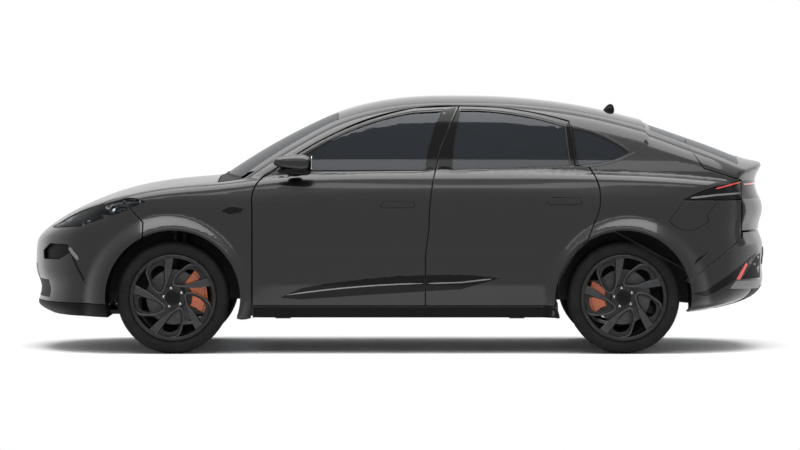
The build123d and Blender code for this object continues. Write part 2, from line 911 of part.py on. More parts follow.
front_liner = common(
    arch_liner(front_axle_x, front_arch, -500, (
        block((front_axle_x - 220, front_axle_x + 220), (-600, -400), (200, 460)),
        block((front_axle_x - 190, front_axle_x + 190), (-600, -400), (700, 860)),
        block((front_axle_x - 40, front_axle_x + 120), (-600, -480), (400, 720)),
    )),
    inner_skin,
)
front_liner = largest(without(front_liner, block((-2000, -1676), (-1000, -800), (0, 900))))
front_liner = front_liner.moved(Location((0, seat_clearance, 0)))
rear_liner = common(
    arch_liner(rear_axle_x, rear_arch, -640, (
        block((rear_axle_x - 120, rear_axle_x + 120), (-700, -600), (200, 560)),
    )),
    inner_skin,
)
rear_liner = largest(without(rear_liner, side_frame_left, block((1870, 2000), (-1000, -800), (0, 900))))
rear_liner = rear_liner.moved(Location((0, seat_clearance, 0)))
front_bay_cover = joined(
    common(without(outer, inner_skin), both_halves(cowl_half, grow=-shut_gap / 2, z_from=1000)),
    block((-1900, -1215), (-560, 560), (870, 890)),
    both_sides(block((-1860, -1800), (-480, -430), (600 + seat_clearance, 880))),
    both_sides(block((-1290, -1240), (-480, -430), (640 + seat_clearance, 880))),
    block((-1240, -1216), (-540, 540), (880, 1000)),
    block((-1216, -1160), (-540, 540), (976, 1000)),
    common(block((-1186, -1160), (-540, 540), (976, 1160)), inner_skin.moved(Location((0, 0, 1)))),
)

# Cabin
steering_centre = (-470, -370, 960)
column_lean = 25
wheel_plane = Plane(
    origin=steering_centre,
    x_dir=(0, 1, 0),
    z_dir=(math.cos(math.radians(column_lean)), 0, math.sin(math.radians(column_lean))),
)
with BuildPart() as column:
    with BuildSketch(wheel_plane.offset(-260)):
        Circle(44)
    extrude(amount=190 - seat_clearance)
dashboard = common(
    joined(
        column.part,
        block((-958, -560), (-690, 690), (760, 1010)),
        block((-958, -700), (-120, 120), (floor_z + 18, 780)),
        block((-610, -560), (-230, 230), (900, 1080)),
    ),
    cabin_space,
)
seat_rows = ((-180, 370, 300), (-180, -370, 300))


def seat(x, y, half):
    cushion = block((x - 330, x + 220), (y - half + 30, y + half - 30), (floor_z + 18.3, 640))
    with BuildPart() as back:
        with BuildSketch(upright_plane(0, y + half - 30)):
            with BuildLine():
                Polyline((x + 170, 560), (x + 300, 560), (x + 440, 1180), (x + 350, 1190), close=True)
            make_face()
        extrude(amount=2 * (half - 30))
    head = block((x + 352, x + 452), (y - 130, y + 130), (1170, 1370))
    return joined(cushion, back.part, head)


front_seats = joined(seat(-180, -370, 290), seat(-180, 370, 290))
with BuildPart() as bench:
    with BuildSketch(upright_plane(0, 640)):
        with BuildLine():
            Polyline((480, floor_z + 18.3), (480, 640), (900, 620), (960, 620), (1120, 1180), (1210, 1170),
                     (1030, 601), (958, 601), (958, floor_z + 18.3), close=True)
        make_face()
    extrude(amount=1280)
rear_bench = common(bench.part, cabin_space)
with BuildPart() as steering_wheel:
    with BuildSketch(wheel_plane.offset(-14)):
        Circle(182)
        Circle(156, mode=Mode.SUBTRACT)
        Rectangle(330, 40)
        Circle(60)
        with Locations((0, -84)):
            Rectangle(40, 160)
    extrude(amount=28)
    with BuildSketch(wheel_plane.offset(-70)):
        Circle(28)
    extrude(amount=60)


# Door mirrors, on the front doors
mirror_left = without(joined(
    common(
        side_prism((-832, 1206), ((-826, 1300), (-760, 1312)), (-600, 1300), ((-578, 1250), (-606, 1164)),
                   (-760, 1172), y_from=-1110, y_to=-930),
        plan_prism((-832, -1000), ((-800, -1100), (-700, -1110)), (-575, -1100), (-575, -930), (-800, -930),
                   z_from=1100, z_to=1400),
    ),
    block((-740, -640), (-960, -876), (1140, 1206)),
), outer.moved(Location((0, 0, seat_clearance))))

pairs = (
    ("front_door", front_door_left),
    ("rear_door", rear_door_left),
    ("side_frame", side_frame_left),
    ("front_wing", wing_left),
    ("front_door_glass", front_door_glass),
    ("rear_door_glass", rear_door_glass),
    ("mirror", mirror_left),
    ("knuckle", knuckle_left),
    ("front_wheel", left_wheel(front_axle_x)),
    ("rear_wheel", left_wheel(rear_axle_x)),
    ("front_tyre", wheel_ring(front_axle_x, tyre_profile)),
    ("rear_tyre", wheel_ring(rear_axle_x, tyre_profile)),
)
singles = (
    ("bonnet", bonnet),
    ("front_bumper", front_bumper),
    ("headlamps", both_sides(headlamp_left)),
    ("rear_bumper", rear_bumper),
    ("tail_lamps", both_sides(tail_lamp_left)),
    ("tailgate", tailgate),
    ("roof_panel", roof_panel),
    ("windscreen", windscreen),
    ("rear_glass", rear_glass),
    ("quarter_glass", quarter_glass),
    ("underbody", underbody),
    ("front_bay_cover", front_bay_cover),
    ("battery_pack", battery_pack),
    ("front_suspension", front_suspension),
    ("rear_suspension", rear_suspension),
    ("rear_drive_unit", rear_drive_unit),
    ("wheel_arch_liners", joined(both_sides(front_liner), both_sides(rear_liner))),
    ("dashboard", dashboard),
    ("front_seats", front_seats),
    ("rear_bench", rear_bench),
    ("steering_wheel", steering_wheel.part),
)
for name, shape in pairs:
    save(shape, f"{name}_left")
    save(mirrored(shape), f"{name}_right")
for name, shape in singles:
    save(shape, name)
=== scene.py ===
# %% [markdown]
# # An electric coupe sport utility vehicle
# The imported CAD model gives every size, place and joint. This notebook dresses it: body panels, glass,
# lamps, wheels, tyres and a padded cabin, each riding on the CAD body that carries it.

# %% The fixed frame
import sys
import json
import math
import bpy
import numpy as np
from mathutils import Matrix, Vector, geometry

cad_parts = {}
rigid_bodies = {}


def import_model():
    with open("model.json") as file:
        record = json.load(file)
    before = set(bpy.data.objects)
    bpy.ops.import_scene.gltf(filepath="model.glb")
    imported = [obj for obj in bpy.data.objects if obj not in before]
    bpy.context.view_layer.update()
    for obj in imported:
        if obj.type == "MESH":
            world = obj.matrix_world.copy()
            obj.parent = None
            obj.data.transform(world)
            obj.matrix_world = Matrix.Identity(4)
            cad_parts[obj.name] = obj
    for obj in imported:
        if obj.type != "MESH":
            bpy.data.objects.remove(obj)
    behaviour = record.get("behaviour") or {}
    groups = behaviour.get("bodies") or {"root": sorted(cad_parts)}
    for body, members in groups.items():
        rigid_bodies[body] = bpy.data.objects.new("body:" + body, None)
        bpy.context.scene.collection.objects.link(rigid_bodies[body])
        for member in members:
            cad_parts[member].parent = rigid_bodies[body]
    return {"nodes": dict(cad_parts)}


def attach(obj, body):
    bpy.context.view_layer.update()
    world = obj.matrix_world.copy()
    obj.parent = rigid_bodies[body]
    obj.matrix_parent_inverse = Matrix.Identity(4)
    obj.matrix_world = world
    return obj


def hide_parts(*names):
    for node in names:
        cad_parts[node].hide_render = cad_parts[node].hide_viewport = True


for leftover in list(bpy.data.objects):
    bpy.data.objects.remove(leftover)
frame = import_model()
sys.stdout.reconfigure(line_buffering=True)
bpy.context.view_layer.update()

# %% [markdown]
# ## Curves that the body is drawn with
# A car's surfaces are read through a few master lines: the sill-to-belt section, the bonnet line and the
# roof line. Each is a natural cubic spline through a handful of measured knots, because its curvature is
# continuous and so highlights run along it without a kink. The alternative, arcs joined end to end, is
# what the CAD solids use, and it shows as a break in the reflection.

# %% Natural cubic splines
def natural_spline(*knots):
    """A curve t -> value through the knots, with continuous curvature and straight ends."""
    t, value = np.array(knots, float).T
    h = np.diff(t)
    system = np.eye(len(t))
    right = np.zeros(len(t))
    for i in range(1, len(t) - 1):
        system[i, i - 1:i + 2] = h[i - 1], 2 * (h[i - 1] + h[i]), h[i]
        right[i] = 6 * ((value[i + 1] - value[i]) / h[i] - (value[i] - value[i - 1]) / h[i - 1])
    bend = np.linalg.solve(system, right)

    def curve(at):
        at = np.asarray(at, float)
        inside = np.clip(at, t[0], t[-1])
        i = np.clip(np.searchsorted(t, inside) - 1, 0, len(h) - 1)
        a, b = t[i + 1] - inside, inside - t[i]
        y = (bend[i] * a**3 + bend[i + 1] * b**3) / (6 * h[i])
        y += (value[i] / h[i] - bend[i] * h[i] / 6) * a + (value[i + 1] / h[i] - bend[i + 1] * h[i] / 6) * b
        first = (value[1] - value[0]) / h[0] - h[0] * bend[1] / 6
        last = (value[-1] - value[-2]) / h[-1] + h[-1] * bend[-2] / 6
        return y + np.minimum(at - t[0], 0) * first + np.maximum(at - t[-1], 0) * last

    return curve


half_width_low = natural_spline((0.215, 0.905), (0.33, 0.935), (0.48, 0.957), (0.8, 0.972), (0.93, 0.968), (1.0, 0.9625))
half_width_high = natural_spline((1.0, 0.9625), (1.05, 0.953), (1.12, 0.932), (1.18, 0.908), (1.26, 0.868))
crease_height = natural_spline(
    (-2.0, 0.93), (-1.177, 0.966), (-0.578, 0.996), (-0.079, 1.017), (0.4, 1.03), (0.856, 1.018), (1.185, 0.995), (2.3, 0.975))
bonnet_line = natural_spline(
    (-2.45, 0.74), (-2.3, 0.852), (-2.1, 0.961), (-1.9, 1.043), (-1.7, 1.097), (-1.45, 1.135), (-1.186, 1.158), (-0.87, 1.196),
    (-0.56, 1.222), (0.0, 1.238), (0.5, 1.242), (1.0, 1.235), (1.4, 1.220), (1.8, 1.197), (2.1, 1.168), (2.5, 1.122))
canopy_half_width = natural_spline((0.95, 0.893), (1.10, 0.888), (1.2, 0.866), (1.3, 0.832), (1.4, 0.788), (1.5, 0.739), (1.6, 0.682), (1.7, 0.618))
roof_line = natural_spline(
    (-1.45, 0.965), (-1.186, 1.157), (-1.0, 1.279), (-0.82, 1.386), (-0.62, 1.490), (-0.429, 1.576), (-0.24, 1.633),
    (-0.03, 1.671), (0.17, 1.687), (0.40, 1.690), (0.7, 1.682), (1.0, 1.655), (1.3, 1.606), (1.612, 1.530))
fastback_line = natural_spline(
    (1.5, 1.556), (1.612, 1.516), (1.7, 1.487), (1.85, 1.435), (2.0, 1.383), (2.15, 1.327), (2.283, 1.276), (2.356, 1.256), (2.425, 1.246))
print("bonnet, roof and tail heights", bonnet_line(-1.186), roof_line(0.37), fastback_line(2.283))

# %% [markdown]
# ## One function for the whole body
# A point is inside the body when a number is positive. Each big form (flank, bonnet, nose, tail, cabin)
# has its own such number, roughly the distance in from its surface. The smallest of them is the solid
# they share, as with a boolean, and a smooth minimum rolls the edge between two forms over, as pressed
# steel does. A panel's surface is then where the number is zero, and its normal is the number's slope.

# %% Signed forms of the body
def smooth_min(a, b, blend):
    """The lesser of two numbers, rounded over where they differ by less than blend."""
    near = np.maximum(blend - np.abs(a - b), 0) / blend
    return np.minimum(a, b) - near**2 * blend / 4


def smooth_max(a, b, blend):
    return -smooth_min(-a, -b, blend)


def step_between(low, high, at):
    """Rises from 0 to 1 between low and high, level at both ends."""
    t = np.clip((at - low) / (high - low), 0, 1)
    return t * t * (3 - 2 * t)


FLANK_RADIUS, FLANK_MID_X, FLANK_HALF = 30.0, 0.1, 0.972
DECK_AXIS_Z, ROOF_AXIS_Z = 1.69 - 0.5 - 8.0, 1.69 - 3.0
CANOPY_RADIUS, CANOPY_MID_X, CANOPY_HALF = 15.0, 0.02, 0.888
NOSE_X, TAIL_X, AXLE_Z, ARCH_RADIUS = -2.452, 2.452, 0.367, 0.440
NOSE_AXIS_X, TAIL_AXIS_X = NOSE_X + 1.5, TAIL_X - 1.7
AXLES = {"front": -1.486, "rear": 1.464}
nose_reach = natural_spline(
    (0.20, 1.30), (0.244, 1.400), (0.29, 1.475), (0.33, 1.478), (0.40, 1.460), (0.50, 1.487), (0.60, 1.496), (0.70, 1.490),
    (0.777, 1.466), (0.846, 1.395), (0.9, 1.325), (0.98, 1.265), (1.1, 1.225), (1.3, 1.19))
tail_reach = natural_spline(
    (0.22, 1.13), (0.30, 1.50), (0.38, 1.655), (0.47, 1.689), (0.56, 1.684), (0.65, 1.692), (0.74, 1.672), (0.80, 1.655),
    (0.90, 1.678), (0.98, 1.674), (1.06, 1.640), (1.11, 1.634), (1.18, 1.655), (1.245, 1.672), (1.30, 1.60), (1.5, 1.45))
corner_half = natural_spline(
    (-2.48, 0.45), (-2.40, 0.555), (-2.30, 0.668), (-2.15, 0.800), (-1.98, 0.886), (-1.78, 0.955), (-1.5, 1.02), (0.0, 1.2),
    (1.6, 1.02), (1.8, 0.972), (2.0, 0.905), (2.2, 0.775), (2.355, 0.600), (2.48, 0.42))
flare_half = natural_spline((0.40, 0.985), (0.445, 0.988), (0.462, 0.984), (0.485, 0.968), (0.53, 0.918), (0.6, 0.80), (0.8, 0.4))


def flank_half_width(x, z):
    """Half width of the flank: the section curve, with its crease lifted to follow the crease line."""
    lift = (crease_height(x) - 1.0) * step_between(0.6, 0.95, z) * (1 - step_between(1.05, 1.2, z))
    level = z - lift
    half = np.where(level < 1.0, half_width_low(level), half_width_high(level))
    window = step_between(-1.0, -0.7, x) * (1 - step_between(0.85, 1.15, x))
    swell = 0.013 * np.exp(-((z - 0.46) / 0.055) ** 2) - 0.011 * np.exp(-((z - 0.625) / 0.075) ** 2)
    return half + window * swell


def lower_body(x, y, z, inset=0.0):
    """Depth below the surface of the body under the windows."""
    side = np.abs(y)
    reach = FLANK_RADIUS - FLANK_HALF
    flank = flank_half_width(x, z) + reach - inset - np.hypot(x - FLANK_MID_X, side + reach)
    deck = bonnet_line(x) - DECK_AXIS_Z - 1.1 * inset - np.hypot(y, z - DECK_AXIS_Z)
    nose = np.where(x < NOSE_AXIS_X, nose_reach(z) - inset - np.hypot(x - NOSE_AXIS_X, y), 1.0)
    tail = np.where(x > TAIL_AXIS_X, tail_reach(z) - inset - np.hypot(x - TAIL_AXIS_X, y), 1.0)
    corner = 0.75 * (corner_half(x) - inset - side)
    wall = smooth_min(flank, corner, 0.12)
    for axle_x in AXLES.values():
        ring = np.hypot(x - axle_x, z - AXLE_Z)
        wall = smooth_max(wall, flare_half(ring) - inset - side, 0.035)
    ends = smooth_min(nose, tail, 0.02)
    body = smooth_min(wall, ends, 0.10)
    body = smooth_min(body, deck, 0.055)
    return smooth_min(body, z - 0.215 - inset, 0.02)


def canopy(x, y, z, inset=0.0, tail_form=True):
    """Depth below the surface of glass, pillars and roof."""
    side = np.abs(y)
    reach = CANOPY_RADIUS - CANOPY_HALF
    wall = canopy_half_width(z) + reach - 1.1 * inset - np.hypot(x - CANOPY_MID_X, side + reach)
    line = np.where(x < 1.622, roof_line(x), fastback_line(x))
    top = line - ROOF_AXIS_Z - 1.1 * inset - np.hypot(y, z - ROOF_AXIS_Z)
    tail = np.where(x > TAIL_AXIS_X, tail_reach(z) - inset - np.hypot(x - TAIL_AXIS_X, y), 1.0)
    return np.minimum(smooth_min(smooth_min(wall, top, 0.07), tail, 0.02), z - 0.7)


def body_form(x, y, z):
    return smooth_max(lower_body(x, y, z), canopy(x, y, z), 0.014)


def wall_form(x, y, z):
    """The inside of doors, pillars and roof: 112 mm in below the belt and 46 mm in above it."""
    return np.maximum(lower_body(x, y, z, 0.112), canopy(x, y, z, 0.046))


def skin_form(x, y, z):
    return np.maximum(lower_body(x, y, z, 0.022), canopy(x, y, z, 0.022))


def shell_form(x, y, z):
    return np.maximum(lower_body(x, y, z, 0.046), canopy(x, y, z, 0.046))


# %% [markdown]
# ## Finding the surface
# A panel's outline is drawn in a side, top or wrap-around view, as a body designer draws shut lines.
# Rays go in from outside at each point of that view, and halving finds where the body's number passes
# zero. Working with whole arrays keeps thousands of rays fast. Shrink-wrap could do this too, but it
# needs a finished mesh to wrap on.

# %% Views and rays
class SideView:
    """u is x, v is z, and rays run in from the left."""
    scale = 1.0

    @staticmethod
    def rays(u, v):
        n = len(u)
        return np.column_stack((u, np.full(n, -1.15), v)), np.tile((0.0, 1.0, 0.0), (n, 1))

    @staticmethod
    def flat(p):
        return p[:, [0, 2]]


class TopView:
    """u is x, v is y, and rays run down."""

    @staticmethod
    def rays(u, v):
        n = len(u)
        return np.column_stack((u, v, np.full(n, 1.85))), np.tile((0.0, 0.0, -1.0), (n, 1))

    @staticmethod
    def flat(p):
        return p[:, [0, 1]]


class WrapView:
    """u is x, v is an angle about a lengthwise line at (y0, z0) times a nominal radius."""

    def __init__(self, y0, z0, radius=0.5):
        self.y0, self.z0, self.radius = y0, z0, radius

    def rays(self, u, v):
        a = v / self.radius
        out = np.column_stack((np.zeros(len(u)), -np.cos(a), np.sin(a)))
        start = np.column_stack((u, np.full(len(u), self.y0), np.full(len(u), self.z0))) + 1.0 * out
        return start, -out

    def flat(self, p):
        a = np.arctan2(p[:, 2] - self.z0, -(p[:, 1] - self.y0))
        return np.column_stack((p[:, 0], a * self.radius))


class EndView:
    """u is an angle about an upright line at x0 times a nominal radius, v is z. way is -1 for the nose."""

    def __init__(self, x0, way, radius=1.0):
        self.x0, self.way, self.radius = x0, way, radius

    def rays(self, u, v):
        a = u / self.radius
        out = np.column_stack((self.way * np.cos(a), np.sin(a), np.zeros(len(u))))
        start = np.column_stack((np.full(len(u), self.x0), np.zeros(len(u)), v)) + 1.9 * out
        return start, -out

    def flat(self, p):
        a = np.arctan2(p[:, 1], self.way * (p[:, 0] - self.x0))
        return np.column_stack((a * self.radius, p[:, 2]))


SIDE, TOP = SideView(), TopView()


def first_hit(form, start, way, reach=2.2, coarse=110):
    """Where each ray first enters the form: a coarse walk brackets it, and halving refines it."""
    t = np.linspace(0, reach, coarse)
    walk = start[:, None, :] + way[:, None, :] * t[None, :, None]
    inside = form(walk[..., 0], walk[..., 1], walk[..., 2]) > 0
    k = np.argmax(inside, axis=1)
    k = np.where(inside.any(axis=1), np.maximum(k, 1), coarse - 1)
    low, high = t[k - 1], t[k]
    for _ in range(24):
        middle = (low + high) / 2
        p = start + way * middle[:, None]
        hit = form(p[:, 0], p[:, 1], p[:, 2]) > 0
        high = np.where(hit, middle, high)
        low = np.where(hit, low, middle)
    return start + way * high[:, None]


def outward(form, p, h=0.0008):
    """Unit normal: minus the slope of the form's number, by central differences."""
    slope = np.empty_like(p)
    for axis in range(3):
        step = np.zeros(3)
        step[axis] = h
        a, b = p + step, p - step
        slope[:, axis] = form(a[:, 0], a[:, 1], a[:, 2]) - form(b[:, 0], b[:, 1], b[:, 2])
    return -slope / np.maximum(np.linalg.norm(slope, axis=1, keepdims=True), 1e-12)


# %% [markdown]
# ## From an outline to a pressed panel
# The outline is cut into short steps, filled with a lattice of points and triangulated in its flat view,
# and every point is then sent to the surface. The panel gets a second, inner surface at its real depth
# and a rolled edge of a few millimetres, because the shut lines between panels are what the eye reads.

# %% Outlines
def resample(points, step):
    """The same closed or open polyline, cut into pieces no longer than step."""
    points = np.asarray(points, float)
    out = []
    for a, b in zip(points[:-1], points[1:]):
        n = max(1, int(math.ceil(np.linalg.norm(b - a) / step)))
        out.append(a + (b - a) * np.linspace(0, 1, n, endpoint=False)[:, None])
    return np.vstack(out + [points[-1:]])


def bow(a, m, b, n=14):
    """The arc through three points of a flat view."""
    a, m, b = (np.asarray(p, float) for p in (a, m, b))
    d = 2 * (a[0] * (m[1] - b[1]) + m[0] * (b[1] - a[1]) + b[0] * (a[1] - m[1]))
    if abs(d) < 1e-9:
        return np.vstack((a, b))
    sq = [p @ p for p in (a, m, b)]
    c = np.array([
        (sq[0] * (m[1] - b[1]) + sq[1] * (b[1] - a[1]) + sq[2] * (a[1] - m[1])) / d,
        (sq[0] * (b[0] - m[0]) + sq[1] * (a[0] - b[0]) + sq[2] * (m[0] - a[0])) / d,
    ])
    ang = [math.atan2(*(p - c)[::-1]) for p in (a, m, b)]
    turn = (ang[2] - ang[0]) % (2 * math.pi)
    if (ang[1] - ang[0]) % (2 * math.pi) > turn:
        turn -= 2 * math.pi
    t = ang[0] + turn * np.linspace(0, 1, n)
    return c + np.linalg.norm(a - c) * np.column_stack((np.cos(t), np.sin(t)))


def draw(start, *moves):
    """Lines and arcs from point to point, closed: a move is an end, or a (middle, end) pair. In millimetres."""
    path = [np.array(start, float)[None]]
    here = start
    for move in moves:
        if isinstance(move[0], tuple):
            path.append(bow(here, move[0], move[1])[1:])
            here = move[1]
        else:
            path.append(np.array(move, float)[None])
            here = move
    return np.vstack(path) / 1000


def inside_polygon(points, ring):
    """Even-odd test of many points against one closed ring."""
    x, y = points[:, 0:1], points[:, 1:2]
    a, b = ring, np.roll(ring, -1, axis=0)
    crosses = (a[None, :, 1] > y) != (b[None, :, 1] > y)
    with np.errstate(divide="ignore", invalid="ignore"):
        at = a[None, :, 0] + (y - a[None, :, 1]) * (b[None, :, 0] - a[None, :, 0]) / (b[None, :, 1] - a[None, :, 1])
    return (crosses & (x < at)).sum(axis=1) % 2 == 1


def distance_to_ring(points, ring):
    a, b = ring, np.roll(ring, -1, axis=0)
    ab = b - a
    t = np.einsum("pkc,kc->pk", points[:, None] - a[None], ab) / np.maximum((ab**2).sum(1), 1e-14)
    near = a[None] + np.clip(t, 0, 1)[..., None] * ab[None]
    return np.sqrt(((points[:, None] - near) ** 2).sum(-1)).min(axis=1)


def shrink(ring, amount):
    """A closed ring moved inwards by an amount, with mitred corners."""
    ring = np.asarray(ring, float)
    if np.allclose(ring[0], ring[-1]):
        ring = ring[:-1]
    area = 0.5 * np.sum(ring[:, 0] * np.roll(ring[:, 1], -1) - np.roll(ring[:, 0], -1) * ring[:, 1])
    way = 1 if area > 0 else -1
    before = ring - np.roll(ring, 1, axis=0)
    after = np.roll(ring, -1, axis=0) - ring
    before /= np.maximum(np.linalg.norm(before, axis=1, keepdims=True), 1e-12)
    after /= np.maximum(np.linalg.norm(after, axis=1, keepdims=True), 1e-12)
    n1 = way * np.column_stack((-before[:, 1], before[:, 0]))
    n2 = way * np.column_stack((-after[:, 1], after[:, 0]))
    mid = n1 + n2
    mid /= np.maximum((mid**2).sum(1, keepdims=True), 0.6) / 2
    return ring + amount * mid


print("an arc in", len(bow((0, 0), (1, 1), (2, 0))), "points")


# %% Triangles inside an outline
def triangulate(ring, holes, step):
    """Lattice points and outlines of a flat region, joined into triangles."""
    rings = [ring] + list(holes)
    low, high = ring.min(0), ring.max(0)
    grid = np.stack(np.meshgrid(np.arange(low[0], high[0], step), np.arange(low[1], high[1], step)), -1).reshape(-1, 2)
    grid += np.random.default_rng(3).uniform(-0.12, 0.12, grid.shape) * step
    keep = inside_polygon(grid, ring)
    keep[keep] = distance_to_ring(grid[keep], ring) > 0.55 * step
    for hole in holes:
        near = keep & ~inside_polygon(grid, hole)
        near[near] = distance_to_ring(grid[near], hole) > 0.55 * step
        keep = near
    edges, base = [], 0
    for r in rings:
        k = np.arange(len(r))
        edges += (np.column_stack((k, np.roll(k, -1))) + base).tolist()
        base += len(r)
    points = np.vstack(rings + [grid[keep]])
    out = geometry.delaunay_2d_cdt([Vector(p) for p in points.tolist()], edges, [], 0, 1e-7, True)
    flat = np.array([tuple(v) for v in out[0]])
    tris = np.array([f for f in out[2] if len(f) == 3], int)
    centre = flat[tris].mean(axis=1)
    keep = inside_polygon(centre, ring)
    for hole in holes:
        keep &= ~inside_polygon(centre, hole)
    tris = tris[keep]
    ab, ac = flat[tris[:, 1]] - flat[tris[:, 0]], flat[tris[:, 2]] - flat[tris[:, 0]]
    area = ab[:, 0] * ac[:, 1] - ab[:, 1] * ac[:, 0]
    tris[area < 0] = tris[area < 0][:, ::-1]
    used = np.unique(tris)
    index = np.full(len(flat), -1)
    index[used] = np.arange(len(used))
    return flat[used], index[tris]


# %% Panels as arrays
def boundary_loops(tris):
    """The open edges of a triangle mesh, chained into loops that run the way the triangles do."""
    e = np.vstack((tris[:, [0, 1]], tris[:, [1, 2]], tris[:, [2, 0]]))
    both = set(map(tuple, e.tolist()))
    after = {a: b for a, b in both if (b, a) not in both}
    loops = []
    while after:
        start = next(iter(after))
        loop, here = [], start
        while here in after:
            loop.append(here)
            here = after.pop(here)
        loops.append(np.array(loop))
    return [loop for loop in loops if len(loop) > 3]


def pressed(ring, view, outer, inner, holes=(), step=0.02, fine=0.012, edge=0.003, sink=0.0):
    """A closed panel between two forms: rolled outer edge, straight shut faces, inner surface."""
    flat, tris = triangulate(resample(np.vstack((ring, ring[:1])), fine)[:-1],
                             [resample(np.vstack((h, h[:1])), fine)[:-1] for h in holes], step)
    start, way = view.rays(flat[:, 0], flat[:, 1])
    top = first_hit(outer, start, way)
    normal = outward(outer, top)
    top = top - normal * sink
    print("  pressed", len(top), "points", [len(l) for l in boundary_loops(tris)], np.isfinite(top).all(), np.isfinite(normal).all())
    under = first_hit(inner, start, way) if callable(inner) else top - normal * inner
    a, b, c = (top[tris[:, i]] for i in range(3))
    if np.einsum("ij,ij->i", np.cross(b - a, c - a), normal[tris[:, 0]]).sum() < 0:
        tris = tris[:, ::-1]
    n = len(top)
    extra, strips, base = [], [], 2 * n
    for loop in boundary_loops(tris):
        p, nrm = top[loop].copy(), normal[loop]
        along = np.roll(p, -1, axis=0) - np.roll(p, 1, axis=0)
        out = np.cross(along, nrm)
        out /= np.maximum(np.linalg.norm(out, axis=1, keepdims=True), 1e-12)
        top[loop] = p - edge * out
        rows = [loop]
        for angle in (35, 65, 90):
            s, k = math.sin(math.radians(angle)), 1 - math.cos(math.radians(angle))
            extra.append(p - edge * out + edge * (s * out - k * nrm))
            rows.append(base + np.arange(len(loop)))
            base += len(loop)
        rows.append(loop + n)
        for r0, r1 in zip(rows[:-1], rows[1:]):
            strips.append(np.column_stack((r0, r1, np.roll(r1, -1), np.roll(r0, -1))))
    vertices = np.vstack([top, under] + extra)
    return {"v": vertices, "outer": tris, "inner": tris[:, ::-1] + n, "quads": np.vstack(strips), "n": normal}


def other_side(shell):
    """The mirror image of a shell across the car."""
    flip = np.array((1.0, -1.0, 1.0))
    return {"v": shell["v"] * flip, "n": shell["n"] * flip,
            "outer": shell["outer"][:, ::-1], "inner": shell["inner"][:, ::-1], "quads": shell["quads"][:, ::-1]}


def turned(shell, angle, centre):
    """A shell turned about a line through centre that runs across the car."""
    c, s = math.cos(angle), math.sin(angle)
    turn = np.array(((c, 0, s), (0, 1, 0), (-s, 0, c)))
    return {**shell, "v": (shell["v"] - centre) @ turn.T + centre, "n": shell["n"] @ turn.T}


def new_object(name, vertices, faces, body, *materials, normals=None, slots=None):
    """Puts arrays into a mesh object at the origin, riding on a body."""
    mesh = bpy.data.meshes.new(name)
    mesh.from_pydata(np.asarray(vertices).tolist(), [], [list(map(int, f)) for f in faces])
    mesh.polygons.foreach_set("use_smooth", np.ones(len(faces), bool))
    for material in materials:
        mesh.materials.append(material)
    if slots is not None:
        mesh.polygons.foreach_set("material_index", np.asarray(slots, np.int32))
    if normals is not None:
        mesh.normals_split_custom_set(normals.tolist())
    piece = bpy.data.objects.new(name, mesh)
    bpy.context.scene.collection.objects.link(piece)
    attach(piece, body)
    return piece


def put(name, shells, body, material, *nodes):
    """One object from one or more shells; its outer faces keep the exact normals of the form."""
    vertices, faces, normals, base = [], [], [], 0
    for s in shells:
        vertices.append(s["v"])
        normals.append(s["n"][s["outer"].reshape(-1)])
        normals.append(np.zeros((3 * len(s["inner"]) + 4 * len(s["quads"]), 3)))
        for group in ("outer", "inner", "quads"):
            faces += (s[group] + base).tolist()
        base += len(s["v"])
    piece = new_object(name, np.vstack(vertices), faces, body, material, normals=np.vstack(normals))
    if nodes:
        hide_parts(*nodes)
    return piece


class PointView:
    """Looks at the body from all round one inside point: u and v measure the angle away from an axis."""

    def __init__(self, centre, axis, radius=0.95, far=1.7):
        self.c, self.radius, self.far = np.array(centre, float), radius, far
        self.e3 = np.array(axis, float) / np.linalg.norm(axis)
        self.e1 = np.array((0.0, 1.0, 0.0))
        self.e2 = np.cross(self.e3, self.e1)

    def rays(self, u, v):
        r = np.hypot(u, v)
        a = r / self.radius
        k = np.where(r > 1e-9, np.sin(a) / np.maximum(r, 1e-9), 1 / self.radius)
        out = (u * k)[:, None] * self.e1 + (v * k)[:, None] * self.e2 + np.cos(a)[:, None] * self.e3
        return self.c + self.far * out, -out

    def flat(self, p):
        d = p - self.c
        d = d / np.linalg.norm(d, axis=1, keepdims=True)
        a = np.arccos(np.clip(d @ self.e3, -1, 1))
        q = np.column_stack((d @ self.e1, d @ self.e2))
        return q / np.maximum(np.sin(a), 1e-9)[:, None] * (a * self.radius)[:, None]


def on_body(view, points, form=body_form, fine=0.015):
    """Points of a flat view, cut fine, sent to the body."""
    uv = resample(points, fine)
    return first_hit(form, *view.rays(uv[:, 0], uv[:, 1]))


def path(start, *moves):
    """An open line of lines and arcs, in millimetres."""
    return draw(start, *moves)


def ring_in(view, *parts):
    """A closed outline in one view, from pieces of line drawn in other views."""
    return view.flat(np.vstack(parts))


def across(points):
    """The same points on the right side of the car, in reverse order."""
    return (points * (1, -1, 1))[::-1]


# %% [markdown]
# ## Finishes
# Each material is built from nodes in object space, so a pattern keeps its real size on every piece.
# Car paint is three layers: a dark base with fine metal flake, and a clear coat with its own gloss.

# %% Materials
def new_material(name, **values):
    """A Principled material whose sockets are set by name. Returns the material, its nodes and links."""
    m = bpy.data.materials.new(name)
    m.use_nodes = True
    nodes, links = m.node_tree.nodes, m.node_tree.links
    shader = nodes["Principled BSDF"]
    for socket, value in values.items():
        shader.inputs[socket.replace("_", " ")].default_value = value
    return m, nodes, links, shader


def noise(nodes, links, scale, detail=3.0, rough=0.5):
    where = nodes.new("ShaderNodeTexCoord")
    n = nodes.new("ShaderNodeTexNoise")
    n.inputs["Scale"].default_value = scale
    n.inputs["Detail"].default_value = detail
    n.inputs["Roughness"].default_value = rough
    links.new(where.outputs["Object"], n.inputs["Vector"])
    return n.outputs["Fac"]


